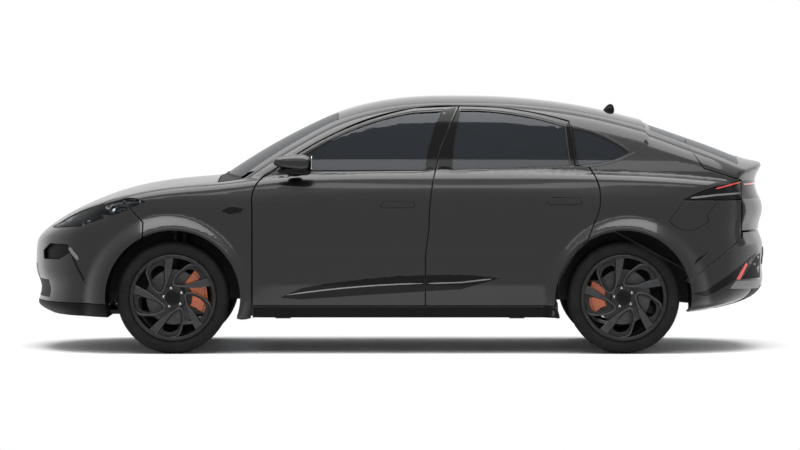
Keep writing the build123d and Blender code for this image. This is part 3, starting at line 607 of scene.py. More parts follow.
def ramp(nodes, links, value, low, high, a=0.3, b=0.7):
    r = nodes.new("ShaderNodeValToRGB")
    r.color_ramp.elements[0].position, r.color_ramp.elements[0].color = a, low
    r.color_ramp.elements[1].position, r.color_ramp.elements[1].color = b, high
    links.new(value, r.inputs["Fac"])
    return r.outputs["Color"]


def bump(nodes, links, shader, value, strength, distance):
    b = nodes.new("ShaderNodeBump")
    b.inputs["Strength"].default_value = strength
    b.inputs["Distance"].default_value = distance
    links.new(value, b.inputs["Height"])
    links.new(b.outputs["Normal"], shader.inputs["Normal"])


def car_paint(name, dark, light):
    m, nodes, links, shader = new_material(
        name, Metallic=0.85, Roughness=0.30, Coat_Weight=0.42, Coat_Roughness=0.03, Coat_IOR=1.45)
    flake = noise(nodes, links, 2600.0, 1.0)
    links.new(ramp(nodes, links, flake, dark, light, 0.42, 0.68), shader.inputs["Base Color"])
    links.new(ramp(nodes, links, noise(nodes, links, 3.0), (0.27,) * 3 + (1,), (0.32,) * 3 + (1,)), shader.inputs["Roughness"])
    bump(nodes, links, shader, flake, 0.03, 0.0002)
    return m


def plastic(name, low, high, rough, grain=900.0, depth=0.0002, **values):
    m, nodes, links, shader = new_material(name, Roughness=rough, **values)
    links.new(ramp(nodes, links, noise(nodes, links, 35.0), low, high), shader.inputs["Base Color"])
    bump(nodes, links, shader, noise(nodes, links, grain, 2.0), 0.25, depth)
    return m


def grey(v):
    return (v, v, v, 1)


paint = car_paint("paint", (0.012, 0.012, 0.0118, 1), (0.027, 0.027, 0.0264, 1))
gloss_black = plastic("gloss_black", grey(0.002), grey(0.003), 0.07, 40.0, 0.00005, Specular_IOR_Level=0.13)
black_plastic = plastic("black_plastic", grey(0.002), grey(0.004), 0.5, Specular_IOR_Level=0.08)
lamp_tray = plastic("lamp_tray", grey(0.004), grey(0.008), 0.35, 300.0, 0.0002, Specular_IOR_Level=0.3)
satin_grey = plastic("satin_grey", grey(0.16), grey(0.20), 0.34, 1400.0, 0.00005, Metallic=0.85)
dark_satin = plastic("dark_satin", grey(0.035), grey(0.05), 0.3, 1400.0, 0.00005, Metallic=0.8)
brake_steel = plastic("brake_steel", grey(0.05), grey(0.075), 0.36, 900.0, 0.0001, Metallic=0.95)
bright_trim = plastic("bright_trim", grey(0.55), grey(0.62), 0.18, 1800.0, 0.00002, Metallic=1.0)
wheel_alloy = plastic("wheel_alloy", (0.030, 0.031, 0.033, 1), (0.042, 0.043, 0.046, 1), 0.27, 1600.0, 0.00004,
                      Metallic=0.9, Coat_Weight=0.3, Coat_Roughness=0.05)
barrel_alloy = plastic("barrel_alloy", grey(0.018), grey(0.028), 0.38, 1200.0, 0.00005, Metallic=0.85)
caliper_paint = plastic("caliper_paint", (0.58, 0.095, 0.008, 1), (0.64, 0.115, 0.010, 1), 0.3, 500.0, 0.0001, Coat_Weight=0.7)
liner = plastic("arch_liner", grey(0.006), grey(0.011), 0.75, 500.0, 0.0005)
under_steel = plastic("under_steel", grey(0.018), grey(0.030), 0.55, 300.0, 0.0003, Metallic=0.4)
battery_case = plastic("battery_case", grey(0.10), grey(0.14), 0.5, 200.0, 0.0003, Metallic=0.7)
cast_parts = plastic("cast_parts", grey(0.025), grey(0.040), 0.6, 260.0, 0.0005, Metallic=0.3)
cabin_trim = plastic("cabin_trim", grey(0.013), grey(0.020), 0.6, 800.0, 0.0003)
# The emission lights the tail lamp parts, and also the side reflector, where it is painted light.
red_lens = plastic("red_lens", (0.25, 0.006, 0.004, 1), (0.34, 0.010, 0.006, 1), 0.06, 60.0, 0.00004,
                   Coat_Weight=0.8, Emission_Color=(0.9, 0.02, 0.01, 1), Emission_Strength=0.35)
lamp_chrome = plastic("lamp_chrome", grey(0.7), grey(0.8), 0.12, 400.0, 0.00005, Metallic=1.0)
lamp_light = plastic("lamp_light", grey(0.85), grey(0.95), 0.2, 400.0, 0.00003, Emission_Color=(1, 1, 1, 1), Emission_Strength=0.25)


def rubber():
    m, nodes, links, shader = new_material("rubber", Roughness=0.8, Specular_IOR_Level=0.14)
    links.new(ramp(nodes, links, noise(nodes, links, 14.0, 5.0), grey(0.005), grey(0.009)), shader.inputs["Base Color"])
    links.new(ramp(nodes, links, noise(nodes, links, 60.0), grey(0.7), grey(0.88)), shader.inputs["Roughness"])
    bump(nodes, links, shader, noise(nodes, links, 420.0, 4.0), 0.35, 0.0006)
    return m


def leather(name, low, high):
    m, nodes, links, shader = new_material(name, Roughness=0.52, Coat_Weight=0.1)
    where = nodes.new("ShaderNodeTexCoord")
    cells = nodes.new("ShaderNodeTexVoronoi")
    cells.inputs["Scale"].default_value = 420.0
    links.new(where.outputs["Object"], cells.inputs["Vector"])
    links.new(ramp(nodes, links, noise(nodes, links, 9.0, 4.0), low, high), shader.inputs["Base Color"])
    bump(nodes, links, shader, cells.outputs["Distance"], 0.4, 0.0008)
    return m


def glazing(name, tint, clear, shine=0.9):
    """Thin tinted glass: mostly a reflection over a see-through tint, so the dark cabin shows dimly."""
    m = bpy.data.materials.new(name)
    m.use_nodes = True
    nodes, links = m.node_tree.nodes, m.node_tree.links
    nodes.remove(nodes["Principled BSDF"])
    gloss = nodes.new("ShaderNodeBsdfGlossy")
    gloss.inputs["Roughness"].default_value = 0.015
    gloss.inputs["Color"].default_value = (shine, shine * 1.02, shine * 1.05, 1)
    through = nodes.new("ShaderNodeBsdfTransparent")
    links.new(ramp(nodes, links, noise(nodes, links, 1.4), tint, tuple(c * 1.15 for c in tint[:3]) + (1,)), through.inputs["Color"])
    film = nodes.new("ShaderNodeBsdfDiffuse")
    film.inputs["Color"].default_value = (0.012, 0.016, 0.021, 1)
    body = nodes.new("ShaderNodeMixShader")
    body.inputs["Fac"].default_value = clear
    links.new(film.outputs["BSDF"], body.inputs[1])
    links.new(through.outputs["BSDF"], body.inputs[2])
    edge = nodes.new("ShaderNodeFresnel")
    edge.inputs["IOR"].default_value = 1.5
    mix = nodes.new("ShaderNodeMixShader")
    links.new(edge.outputs["Fac"], mix.inputs["Fac"])
    links.new(body.outputs["Shader"], mix.inputs[1])
    links.new(gloss.outputs["BSDF"], mix.inputs[2])
    links.new(mix.outputs["Shader"], nodes["Material Output"].inputs["Surface"])
    return m


tyre_rubber = rubber()
seat_leather = leather("seat_leather", grey(0.012), grey(0.022))
tinted = glazing("tinted_glass", (0.20, 0.23, 0.27, 1), 0.62, 0.5)
screen_glass = glazing("screen_glass", (0.45, 0.50, 0.53, 1), 0.72, 0.45)
lens_glass = glazing("lens_glass", (0.85, 0.88, 0.90, 1), 0.985, 0.28)
print(len(bpy.data.materials), "materials")

# %% [markdown]
# ## Doors
# The shut line is drawn once, in side view. A real door is a thin pressed skin hemmed over an inner frame
# that is a little smaller all round, so it is made as those two shells, and the opening for the window
# goes through both.

# %% Doors
SPLIT = 166
DOOR_BOTTOM = 312
front_door_line = draw((-966, DOOR_BOTTOM), (-968, 960), ((-955, 1080), (-905, 1150)), (-838, 1188), ((-420, 1445), (90, 1607)),
                       (392, 1622), (300, 1420), ((215, 1120), (190, 830)), (SPLIT, 640), (SPLIT, DOOR_BOTTOM))
front_window_line = draw((-770, 1190), ((-400, 1424), (90, 1576)), (282, 1586), ((215, 1410), (178, 1196)))
rear_door_line = draw((SPLIT, DOOR_BOTTOM), (SPLIT, 640), (190, 830), ((215, 1120), (300, 1420)), (392, 1622),
                      ((820, 1588), (1112, 1520)), (1148, 1230), (1238, 1222), ((1306, 1080), (1290, 900)), (1225, 740),
                      ((1070, 560), (1015, DOOR_BOTTOM)))
rear_window_line = draw((338, 1202), ((352, 1400), (392, 1588)), (460, 1590), ((800, 1556), (1084, 1484)), (1112, 1228))
quarter_line = draw((1172, 1236), (1142, 1474), ((1330, 1418), (1505, 1312)), ((1380, 1258), (1172, 1236)))


def tight(line):
    """Drops points closer than half a millimetre and the closing one."""
    gap = np.linalg.norm(line - np.roll(line, 1, axis=0), axis=1)
    return line[gap > 0.0005]


def door(name, line, window, body_of, node):
    skin = pressed(shrink(tight(line), 0.003), SIDE, body_form, skin_form, [tight(window)])
    core = pressed(shrink(tight(line), 0.034), SIDE, skin_form, wall_form, [shrink(tight(window), -0.001)], step=0.04, fine=0.03)
    for side, flip in (("left", lambda s: s), ("right", other_side)):
        put(f"{name}_skin_{side}", [flip(skin)], f"{body_of}_{side}", paint, f"{node}_{side}")
        put(f"{name}_frame_{side}", [flip(core)], f"{body_of}_{side}", cabin_trim)


door("front_door", front_door_line, front_window_line, "front_door", "front_door")
door("rear_door", rear_door_line, rear_window_line, "rear_door", "rear_door")


# %% [markdown]
# ## Door glass
# Side windows follow the canopy surface, 6 mm in, and are 5 mm thick: flat sheets would show a straight
# reflection where the real one bends.

# %% Door glass
def pane(inset):
    return lambda x, y, z: canopy(x, y, z, inset)


def glass_piece(name, line, body_of, node, material, pair=True):
    sheet = pressed(shrink(tight(line), 0.0006), SIDE, pane(0.006), pane(0.0105), step=0.035, fine=0.02, edge=0.001)
    put(f"{name}_left", [sheet], body_of + "_left", material, node + "_left")
    put(f"{name}_right", [other_side(sheet)], body_of + "_right", material, node + "_right")


glass_piece("front_window", front_window_line, "front_door", "front_door_glass", tinted)
glass_piece("rear_window", rear_window_line, "rear_door", "rear_door_glass", tinted)
quarter = pressed(shrink(tight(quarter_line), 0.0006), SIDE, pane(0.006), pane(0.0105), step=0.035, fine=0.02, edge=0.001)
put("quarter_window", [quarter, other_side(quarter)], "body", tinted, "quarter_glass")

# %% [markdown]
# ## Body side
# Roof rail, pillars, rear quarter and sill are one pressing on a real car, pressed from one sheet with the
# door openings cut out. Its edges come from several drawings: the doors from the side, the roof and
# tailgate from above. Each edge is sent to the body in its own view, and the ring of points is then laid
# out in a view that wraps round the car's flank.

# %% Body side
WRAP = WrapView(-0.30, 0.75, 0.62)
ARCH_EDGE = ARCH_RADIUS * 1000 + 1.5


def arch_path(axle_x, from_deg, to_deg, n=40, radius=ARCH_EDGE):
    """The wheel arch edge in side view; angles from the rear, counter-clockwise seen from the left."""
    a = np.radians(np.linspace(from_deg, to_deg, n))
    return np.column_stack((axle_x + radius / 1000 * np.cos(a), AXLE_Z + radius / 1000 * np.sin(a)))


sill_low = 0.232
rear_arch_start = math.degrees(math.asin((sill_low - AXLE_Z) / (ARCH_EDGE / 1000)))
upper_and_rear = [
    on_body(TOP, path((-1000, -686), (-414, -558.5), ((600, -528.5), (1621, -510.5)), (1621, -544))),
    on_body(TOP, path((1621, -545), (1896, -619))),
    on_body(SIDE, path((1900, 1395), (1904, 1355), (2002, 1206), (2081, 1180), (2238, 1133))),
    on_body(SIDE, path((2236, 1130), (2175, 1107), ((2000, 1069), (1861, 1007)), (1861, 1001), (2249, 1001), (2249, 742))),
    on_body(SIDE, path((2214, 723), ((2083, 616), (1894, 485)), (1877, 470))),
    on_body(SIDE, arch_path(AXLES["rear"], math.degrees(math.asin((0.47 - AXLE_Z) / (ARCH_EDGE / 1000))), 180 - rear_arch_start)),
]
side_ring = ring_in(
    WRAP,
    on_body(SIDE, path((-963, 232), (-963, 309), (1018, 309), ((1073, 558), (1228, 738)), (1293, 899), ((1309, 1080), (1241, 1225)),
                       (1151, 1233), (1115, 1523), ((822, 1591), (392, 1625)), ((90, 1610), (-421, 1448)))),
    on_body(SIDE, path((-421, 1448), ((-640, 1330), (-841, 1191)), (-960, 1192))),
    *upper_and_rear,
)
core_ring = ring_in(WRAP, on_body(SIDE, path((-960, 236), (-960, 1150), (-960, 1190))), *upper_and_rear)
print("side ring", side_ring.min(0).round(3), side_ring.max(0).round(3), len(side_ring), "points")
side_inner_ring = shrink(tight(core_ring), 0.006)
def door_hole(line):
    """The frame's opening, 16 mm inside the shut line and 8 mm below it at the sill, where the open door's foot swings."""
    hole = shrink(tight(line), 0.016)
    hole[hole[:, 1] < 0.34, 1] = 0.304
    return ring_in(WRAP, on_body(SIDE, np.vstack((hole, hole[:1])), skin_form))


inner_holes = [door_hole(line) for line in (front_door_line, rear_door_line)]
quarter_hole = ring_in(WRAP, on_body(SIDE, np.vstack((tight(quarter_line), tight(quarter_line)[:1])), pane(0.0)))
side_skin = pressed(tight(side_ring), WRAP, body_form, skin_form, [quarter_hole])


def inner_level(x, y, z):
    return np.maximum(lower_body(x, y, z, 0.028), canopy(x, y, z, 0.028))


side_core = pressed(side_inner_ring, WRAP, inner_level, wall_form, inner_holes + [quarter_hole], step=0.05, fine=0.03)
for side, flip in (("left", lambda s: s), ("right", other_side)):
    put(f"body_side_{side}", [flip(side_skin)], "body", paint, f"side_frame_{side}")
    put(f"body_side_frame_{side}", [flip(side_core)], "body", cabin_trim)
print("body side", len(side_skin["outer"]), "outer triangles")

# %% [markdown]
# ## Front wings
# The wing's edge meets four neighbours: door, bonnet, lamp and bumper. Each stretch of the edge is the
# neighbour's own shut line moved over by the gap.

# %% Front wings
front_arch_top = math.degrees(math.acos((-1.6815 - AXLES["front"]) / (ARCH_EDGE / 1000)))
wing_ring = ring_in(
    WRAP,
    on_body(SIDE, path((-975, 232), (-971.5, 960), ((-958.5, 1081), (-909, 1154)), (-843, 1189))),
    on_body(TOP, path((-846, -768), (-1192, -768), (-1196, -781), ((-1540, -826.5), (-1945, -747)))),
    on_body(SIDE, path((-1948, 974), ((-1900, 987), (-1841, 1001)), ((-1718, 1011), (-1668, 990)), (-1762, 950))),
    on_body(SIDE, path((-1760, 940), (-1680, 860), (-1680, 765))),
    on_body(SIDE, arch_path(AXLES["front"], front_arch_top, math.degrees(math.asin((0.232 - AXLE_Z) / (ARCH_EDGE / 1000))))),
)
wing = pressed(tight(wing_ring), WRAP, body_form, skin_form)
put("front_wing_skin_left", [wing], "body", paint, "front_wing_left")
put("front_wing_skin_right", [other_side(wing)], "body", paint, "front_wing_right")
print("wing", len(wing["outer"]), "outer triangles")

# %% [markdown]
# ## Bonnet, roof and tailgate
# These lie across the car, so they are drawn from above. The roof is a dark glass panel; the tailgate
# frames its own window and ends in the spoiler lip.

# %% Bonnet, roof, screens and tailgate
def whole(*half):
    """A plan outline of the left half, closed with its mirror image."""
    left = half[0] if len(half) == 1 else np.vstack(half)
    return tight(np.vstack((left, (left * (1, -1))[::-1])))


lamp_top = on_body(SIDE, path((-1985, 967), ((-2080, 937), (-2258, 846))))
bonnet_ring = shrink(whole(path((-1196, 0), (-1196, -778), ((-1540, -823.5), (-1960, -738))), lamp_top[:, :2],
                           path((-2278, -442), ((-2322, -330), (-2345, 0)))), 0.003)
bonnet = pressed(bonnet_ring, TOP, body_form, skin_form)
put("bonnet_skin", [bonnet], "bonnet", paint, "bonnet")
roof_ring = shrink(whole(path((-412, 0), (-412, -556), ((600, -526), (1622, -508)), (1622, 0))), 0.0015)
roof = pressed(roof_ring, TOP, lambda x, y, z: canopy(x, y, z), shell_form, step=0.035)
put("roof_skin", [roof], "body", gloss_black, "roof_panel")
screen_ring = shrink(whole(path((-1150, 0), ((-1120, -400), (-1040, -690)), (-412, -556), (-412, 0))), 0.002)
put("windscreen_glass", [pressed(screen_ring, TOP, pane(0.004), pane(0.009), step=0.035, fine=0.02, edge=0.001)],
    "body", screen_glass, "windscreen")
rear_glass_line = whole(path((1660, 0), (1660, -496), (2240, -560), (2268, 0)))
put("rear_window_glass", [pressed(shrink(rear_glass_line, 0.001), TOP, pane(0.004), pane(0.009), step=0.035, fine=0.02, edge=0.001)],
    "tailgate", tinted, "rear_glass")

GATE = PointView((1.55, 0, 0.86), (0.83, 0, 0.56))
gate_left = [
    on_body(TOP, path((1628, 0), (1628, -537), (1900, -611))),
    on_body(SIDE, path((1904, 1356), (2002, 1212), (2080, 1186), (2250, 1135), (2256, 1131), (2256, 799))),
]
tail_end = first_hit(body_form, *EndView(1.5, 1).rays(np.linspace(-0.72, 0, 40), np.full(40, 0.799)))
gate_half = np.vstack(gate_left + [tail_end])
gate_ring = tight(GATE.flat(np.vstack((gate_half, across(gate_half)))))
rear_hole = GATE.flat(on_body(TOP, np.vstack((rear_glass_line, rear_glass_line[:1])), pane(0.0)))
gate = pressed(gate_ring, GATE, body_form, shell_form, [tight(rear_hole)])
put("tailgate_skin", [gate], "tailgate", paint, "tailgate")
print("tailgate", len(gate["outer"]), "outer triangles")

# %% [markdown]
# ## Bumpers
# A bumper wraps round three sides of the car, so it is laid out as seen from one point inside the car.
# The dark lower lip is a separate moulding on the real car and here.

# %% Bumpers
NOSE = PointView((-1.45, 0, 0.58), (-1, 0, 0))
TAIL = PointView((1.45, 0, 0.58), (1, 0, 0))


def level_line(view_x, way, z, side_x):
    """Points along the body at one height, from the side at side_x round to the centre line."""
    start_y = -0.93
    far = math.atan2(start_y, way * (side_x / 1000 - view_x))
    p = first_hit(body_form, *EndView(view_x, way).rays(np.linspace(far, 0, 90), np.full(90, z / 1000)))
    return p[way * p[:, 0] > way * side_x / 1000]


lip_z = 0.328
bumper_left = [
    on_body(SIDE, arch_path(AXLES["front"], 180 - math.degrees(math.asin((lip_z - AXLE_Z) / (ARCH_EDGE / 1000))), front_arch_top + 1.0)),
    on_body(SIDE, path((-1686, 765), (-1686, 858), (-1765, 937), (-1771, 948))),
    on_body(SIDE, path((-1771, 944), ((-1850, 917), (-2100, 829)), (-2306, 812), (-2306, 818))),
    on_body(TOP, path((-2206, -549), ((-2293, -421), (-2348, 0)))),
]
low_front = level_line(-1.45, -1, lip_z * 1000, -1932)[::-1]
half = np.vstack([low_front] + bumper_left)
nose_ring = tight(NOSE.flat(np.vstack((half, across(half)))))
SCOOP = tight(draw((-2368, 664), (-2316, 712), (-2188, 712), (-2163, 660), (-2248, 608), (-2364, 606)))


def nose_hole(line):
    p = on_body(SIDE, np.vstack((line, line[:1])))
    return tight(NOSE.flat(p)), tight(NOSE.flat(across(p)))


scoops = nose_hole(SCOOP)
bumper = pressed(nose_ring, NOSE, body_form, shell_form, scoops)
put("front_bumper_skin", [bumper], "body", paint, "front_bumper")
lip_low = 0.238
low_edge = level_line(-1.45, -1, lip_low * 1000, -1905)
lip_half = np.vstack([
    on_body(SIDE, arch_path(AXLES["front"], 180 - math.degrees(math.asin((lip_low - AXLE_Z) / (ARCH_EDGE / 1000))),
                            180 - math.degrees(math.asin((lip_z - 0.004 - AXLE_Z) / (ARCH_EDGE / 1000))))),
    level_line(-1.45, -1, (lip_z - 0.004) * 1000, -1925),
])
lip_ring = tight(NOSE.flat(np.vstack((lip_half, across(np.vstack((low_edge[::-1], )))[::-1] * (1, 1, 1)))))
print("nose ring", nose_ring.min(0).round(2), nose_ring.max(0).round(2))

rear_low = level_line(1.45, 1, 262, 1905)[::-1]
under_gate = level_line(1.45, 1, 787, 2263)
tail_half = np.vstack([
    rear_low,
    on_body(SIDE, arch_path(AXLES["rear"], math.degrees(math.asin((0.262 - AXLE_Z) / (ARCH_EDGE / 1000))),
                            math.degrees(math.asin((0.466 - AXLE_Z) / (ARCH_EDGE / 1000))), 20)),
    on_body(SIDE, path((1880, 473), (1896, 486), ((2083, 612), (2214, 717)), (2261, 752), (2263, 786))),
    under_gate[under_gate[:, 0] > 2.268],
])
tail_ring = tight(TAIL.flat(np.vstack((tail_half, across(tail_half)))))
rear_bumper = pressed(tail_ring, TAIL, body_form, shell_form)
put("rear_bumper_skin", [rear_bumper], "body", paint, "rear_bumper")
print("tail ring", tail_ring.min(0).round(2), tail_ring.max(0).round(2))

low = level_line(-1.45, -1, lip_low * 1000, -1914)[::-1]
high = level_line(-1.45, -1, (lip_z - 0.004) * 1000, -1932)
arch_bit = on_body(SIDE, arch_path(AXLES["front"], 180 - math.degrees(math.asin((lip_low - AXLE_Z) / (ARCH_EDGE / 1000))),
                                   180 - math.degrees(math.asin((lip_z - 0.004 - AXLE_Z) / (ARCH_EDGE / 1000))), 8))
lip_half = np.vstack((low, arch_bit, high))
lip = pressed(tight(NOSE.flat(np.vstack((lip_half, across(lip_half))))), NOSE, body_form, shell_form)
put("front_lip", [lip], "body", black_plastic)

# %% [markdown]
# ## Inserts, seams and strips
# Small trims lie on the big forms, so each is drawn in the same views and pressed from the same surface,
# a millimetre or two proud of it or sunk below it. That keeps them on the curve from every side.

# %% Inserts in the bumpers and along the sides
def strip(line, width):
    """A closed ring round an open line, width wide, narrowing to a third at its two ends."""
    p = resample(line, 0.012)
    along = np.gradient(p, axis=0)
    along /= np.maximum(np.linalg.norm(along, axis=1, keepdims=True), 1e-12)
    side = np.column_stack((-along[:, 1], along[:, 0]))
    t = np.linspace(0, 1, len(p))
    half = (width / 2 * (1 - 0.66 * np.maximum(np.abs(2 * t - 1) - 0.8, 0) / 0.2))[:, None]
    return np.vstack((p + side * half, (p - side * half)[::-1]))


def on_side(name, ring, body, material, proud=0.001, thick=0.003, step=0.03, form=body_form, edge=0.0008, fine=0.01):
    """A trim on the left flank and its twin on the right. Body names may hold {} for the side."""
    piece = pressed(tight(ring), SIDE, form, thick, step=step, fine=fine, edge=edge, sink=-proud)
    both = [("left", piece), ("right", other_side(piece))]
    if "{}" in body:
        for side, s in both:
            put(f"{name}_{side}", [s], body.format(side), material)
    else:
        put(name, [s for _, s in both], body, material)


on_side("scoop_floor", shrink(SCOOP, -0.002), "body", black_plastic, proud=-0.022)
# The air slot is not cut: a gloss black strip on the surface is painted shade, the dark of the opening.
SLOT = draw((-2163, 656), (-2120, 560), (-2060, 452))
on_side("bumper_slot_painted_shade", strip(SLOT, 0.016), "body", gloss_black, proud=0.0006)
on_side("bumper_blade", strip(draw((-2176, 690), (-2150, 655), (-2112, 612)), 0.022), "body", satin_grey, proud=0.003)
VENT = tight(draw((1904, 396), (2010, 372), ((2140, 436), (2330, 562)), (2372, 652), (2330, 630), ((2140, 498), (2004, 412))))
on_side("rear_vent", VENT, "body", gloss_black, proud=0.0008)
# The side reflector takes the red lens finish with its emission, so it glows: painted light, as a reflector is no lamp.
on_side("rear_reflector", tight(draw((2214, 478), (2240, 478), (2296, 572), (2284, 586))), "body", red_lens, proud=0.003)
on_side("rear_corner_insert", tight(draw((2250, 478), (2400, 478), (2400, 640), (2372, 630))), "body", black_plastic, proud=0.0015)
on_side("rear_shelf", tight(draw((2168, 420), (2396, 408), (2400, 462), (2212, 470))), "body", satin_grey, proud=0.003)
on_side("sill_trim", tight(draw((-960, 236), (-960, 305), (1014, 305), (1036, 250), (1036, 236))), "body", black_plastic, proud=0.002, step=0.05)
LEAF = tight(draw((-786, 368), (-640, 430), ((-120, 502), (490, 516)), (655, 496), (400, 424), ((0, 400), (-640, 356))))


def cut_at(ring, x, keep_left):
    """The part of a closed ring on one side of an upright line."""
    out = []
    for a, b in zip(ring, np.roll(ring, -1, axis=0)):
        inside_a, inside_b = (a[0] < x) == keep_left, (b[0] < x) == keep_left
        if inside_a:
            out.append(a)
        if inside_a != inside_b:
            out.append(a + (b - a) * (x - a[0]) / (b[0] - a[0]))
    return np.array(out)


on_side("front_door_blade", cut_at(LEAF, 0.160, True), "front_door_{}", gloss_black, proud=0.0045, thick=0.008, edge=0.003)
on_side("rear_door_blade", cut_at(LEAF, 0.172, False), "rear_door_{}", gloss_black, proud=0.0045, thick=0.008, edge=0.003)
# The thin satin grey strip along the middle of each door blade is a painted highlight: a lighter line where the gloss
# black blade catches the light.
BLADE_HIGHLIGHT_LINE = draw((-740, 386), ((-120, 452), (150, 462)))
on_side("front_blade_accent", strip(BLADE_HIGHLIGHT_LINE, 0.008), "front_door_{}", satin_grey, proud=0.0065)
on_side("rear_blade_accent", strip(draw((185, 462), (400, 468), (600, 490)), 0.008), "rear_door_{}", satin_grey, proud=0.0065)
HANDLES = {"front_door": (draw((-118, 977), (-124, 968), (-112, 957), (80, 958), (96, 972), (84, 994), (-100, 996)), -0.012),
           "rear_door": (draw((972, 1001), (966, 990), (980, 977), (1172, 978), (1190, 994), (1176, 1018), (990, 1022)), 0.0)}
for name, (ring, _) in HANDLES.items():
    # The gloss black ring round each handle is painted shade: it stands for the dark of the gap round the handle.
    on_side(f"{name}_handle_gap", shrink(tight(ring), -0.0040), name + "_{}", gloss_black, proud=0.0007, thick=0.002)
    on_side(f"{name}_handle", tight(ring), name + "_{}", paint, proud=0.0016, thick=0.003)
# The charge flap's seam is a gloss black strip on the panel: painted shade for the dark of the gap round the flap.
FLAP = draw((1861, 1001), (1762, 870), ((1830, 818), (1942, 815)), (2025, 862), (2012, 905), (2090, 1000))
on_side("charge_flap_seam_painted_shade", strip(FLAP, 0.005), "body", gloss_black, proud=0.0009, thick=0.003, step=0.02)
on_side("camera_pod", tight(draw((-1167, 935), ((-1120, 962), (-1060, 960)), (-1022, 950), (-1040, 928), (-1110, 913))), "body", gloss_black,
        proud=0.006, thick=0.01, edge=0.004)

# %% Window frames
BELT_FRONT = draw((-800, 1184), (-573, 1182), (170, 1190))
BELT_REAR = draw((342, 1196), (1120, 1221))
on_side("front_belt_strip", strip(BELT_FRONT, 0.010), "front_door_{}", dark_satin, proud=0.003, thick=0.005)
on_side("rear_belt_strip", strip(BELT_REAR, 0.010), "rear_door_{}", dark_satin, proud=0.003, thick=0.005)
front_frame = tight(draw((168, 1197), (170, 1192), (212, 1196), (236, 1220), ((262, 1340), (296, 1425)), (372, 1612), (280, 1592), ((205, 1410), (168, 1197))))
on_side("b_pillar_front", front_frame, "front_door_{}", gloss_black, proud=0.0012, thick=0.003, edge=0.0005)
rear_frame = tight(draw((246, 1202), (343, 1205), ((357, 1400), (397, 1584)), (388, 1606), (306, 1425), ((262, 1310), (246, 1202))))
on_side("b_pillar_rear", rear_frame, "rear_door_{}", gloss_black, proud=0.0012, thick=0.003, edge=0.0005)
on_side("front_top_strip", strip(draw((-790, 1196), ((-405, 1434), (90, 1588)), (290, 1599)), 0.006), "front_door_{}", dark_satin, proud=0.003)
on_side("rear_top_strip", strip(draw((398, 1600), (460, 1601), ((803, 1568), (1090, 1498))), 0.006), "rear_door_{}", dark_satin, proud=0.003)
on_side("quarter_top_strip", strip(draw((1140, 1486), ((1336, 1430), (1520, 1318))), 0.008), "body", dark_satin, proud=0.003)
on_side("quarter_low_strip", strip(draw((1176, 1226), ((1384, 1248), (1550, 1318))), 0.012), "body", dark_satin, proud=0.003)
rear_post = tight(draw((1120, 1230), (1092, 1488), (1110, 1516), (1116, 1500), (1144, 1234)))
on_side("rear_door_post", rear_post, "rear_door_{}", gloss_black, proud=0.0012, thick=0.003, edge=0.0005)
quarter_post = tight(draw((1152, 1238), (1122, 1502), (1138, 1486), (1168, 1240)))
on_side("quarter_post", quarter_post, "body", gloss_black, proud=0.0012, thick=0.003, edge=0.0005)

# %% [markdown]
# ## Lamps
# A lamp is a clear shell over a dark tray with the light units set in it. The tray is sunk behind the
# shell so that the parts inside move against its edge as the eye moves, which a painted shape never does.

# %% Headlamps and tail lamps
LAMP = tight(draw((-2303, 815), ((-2080, 930), (-1842, 998)), ((-1720, 1008), (-1672, 990)), ((-1850, 920), (-2100, 832))))
lens = pressed(shrink(LAMP, 0.0015), SIDE, body_form, 0.003, step=0.03, fine=0.012, edge=0.001)
put("headlamp_lenses", [lens, other_side(lens)], "body", lens_glass, "headlamps")
on_side("headlamp_trays", shrink(LAMP, -0.003), "body", lamp_tray, proud=-0.030, thick=0.004)
on_side("headlamp_upper_light", strip(draw((-2260, 846), ((-2060, 930), (-1850, 988)), (-1740, 996)), 0.007), "body", satin_grey, proud=-0.012)
on_side("headlamp_low_dots", strip(draw((-2200, 838), (-2085, 848)), 0.007), "body", lamp_light, proud=-0.012)
on_side("headlamp_bezel", tight(draw((-2090, 862), (-2000, 906), (-1900, 958), (-1830, 966), (-1800, 952), (-1880, 918), (-1990, 862), (-2060, 842))),
        "body", cabin_trim, proud=-0.020, thick=0.006)


def dome(name, centre, axis, radius, height, body, material, rings=14, segments=40):
    """A lens cap: height x (1 - r^2) over a disc, closed underneath."""
    axis = np.array(axis, float) / np.linalg.norm(axis)
    e1 = np.cross(axis, (0, 0, 1.0))
    e1 /= np.linalg.norm(e1)
    e2 = np.cross(axis, e1)
    r = np.linspace(0, 1, rings)[1:, None]
    a = np.linspace(0, 2 * math.pi, segments, endpoint=False)[None]
    skin = (radius * r * np.cos(a))[..., None] * e1 + (radius * r * np.sin(a))[..., None] * e2 + (height * (1 - r**2) * np.ones_like(a))[..., None] * axis
    v = np.vstack(([axis * height], skin.reshape(-1, 3), [axis * -0.002])) + np.array(centre)
    k = np.arange(segments)
    nxt = np.roll(k, -1)
    faces = [(0, 1 + i, 1 + j) for i, j in zip(nxt, k)]
    for row in range(rings - 2):
        b = 1 + row * segments
        faces += np.column_stack((b + k, b + nxt, b + segments + nxt, b + segments + k)).tolist()
    b = 1 + (rings - 2) * segments
    faces += [(b + i, b + j, len(v) - 1) for i, j in zip(nxt, k)]
    return new_object(name, v, faces, body, material)


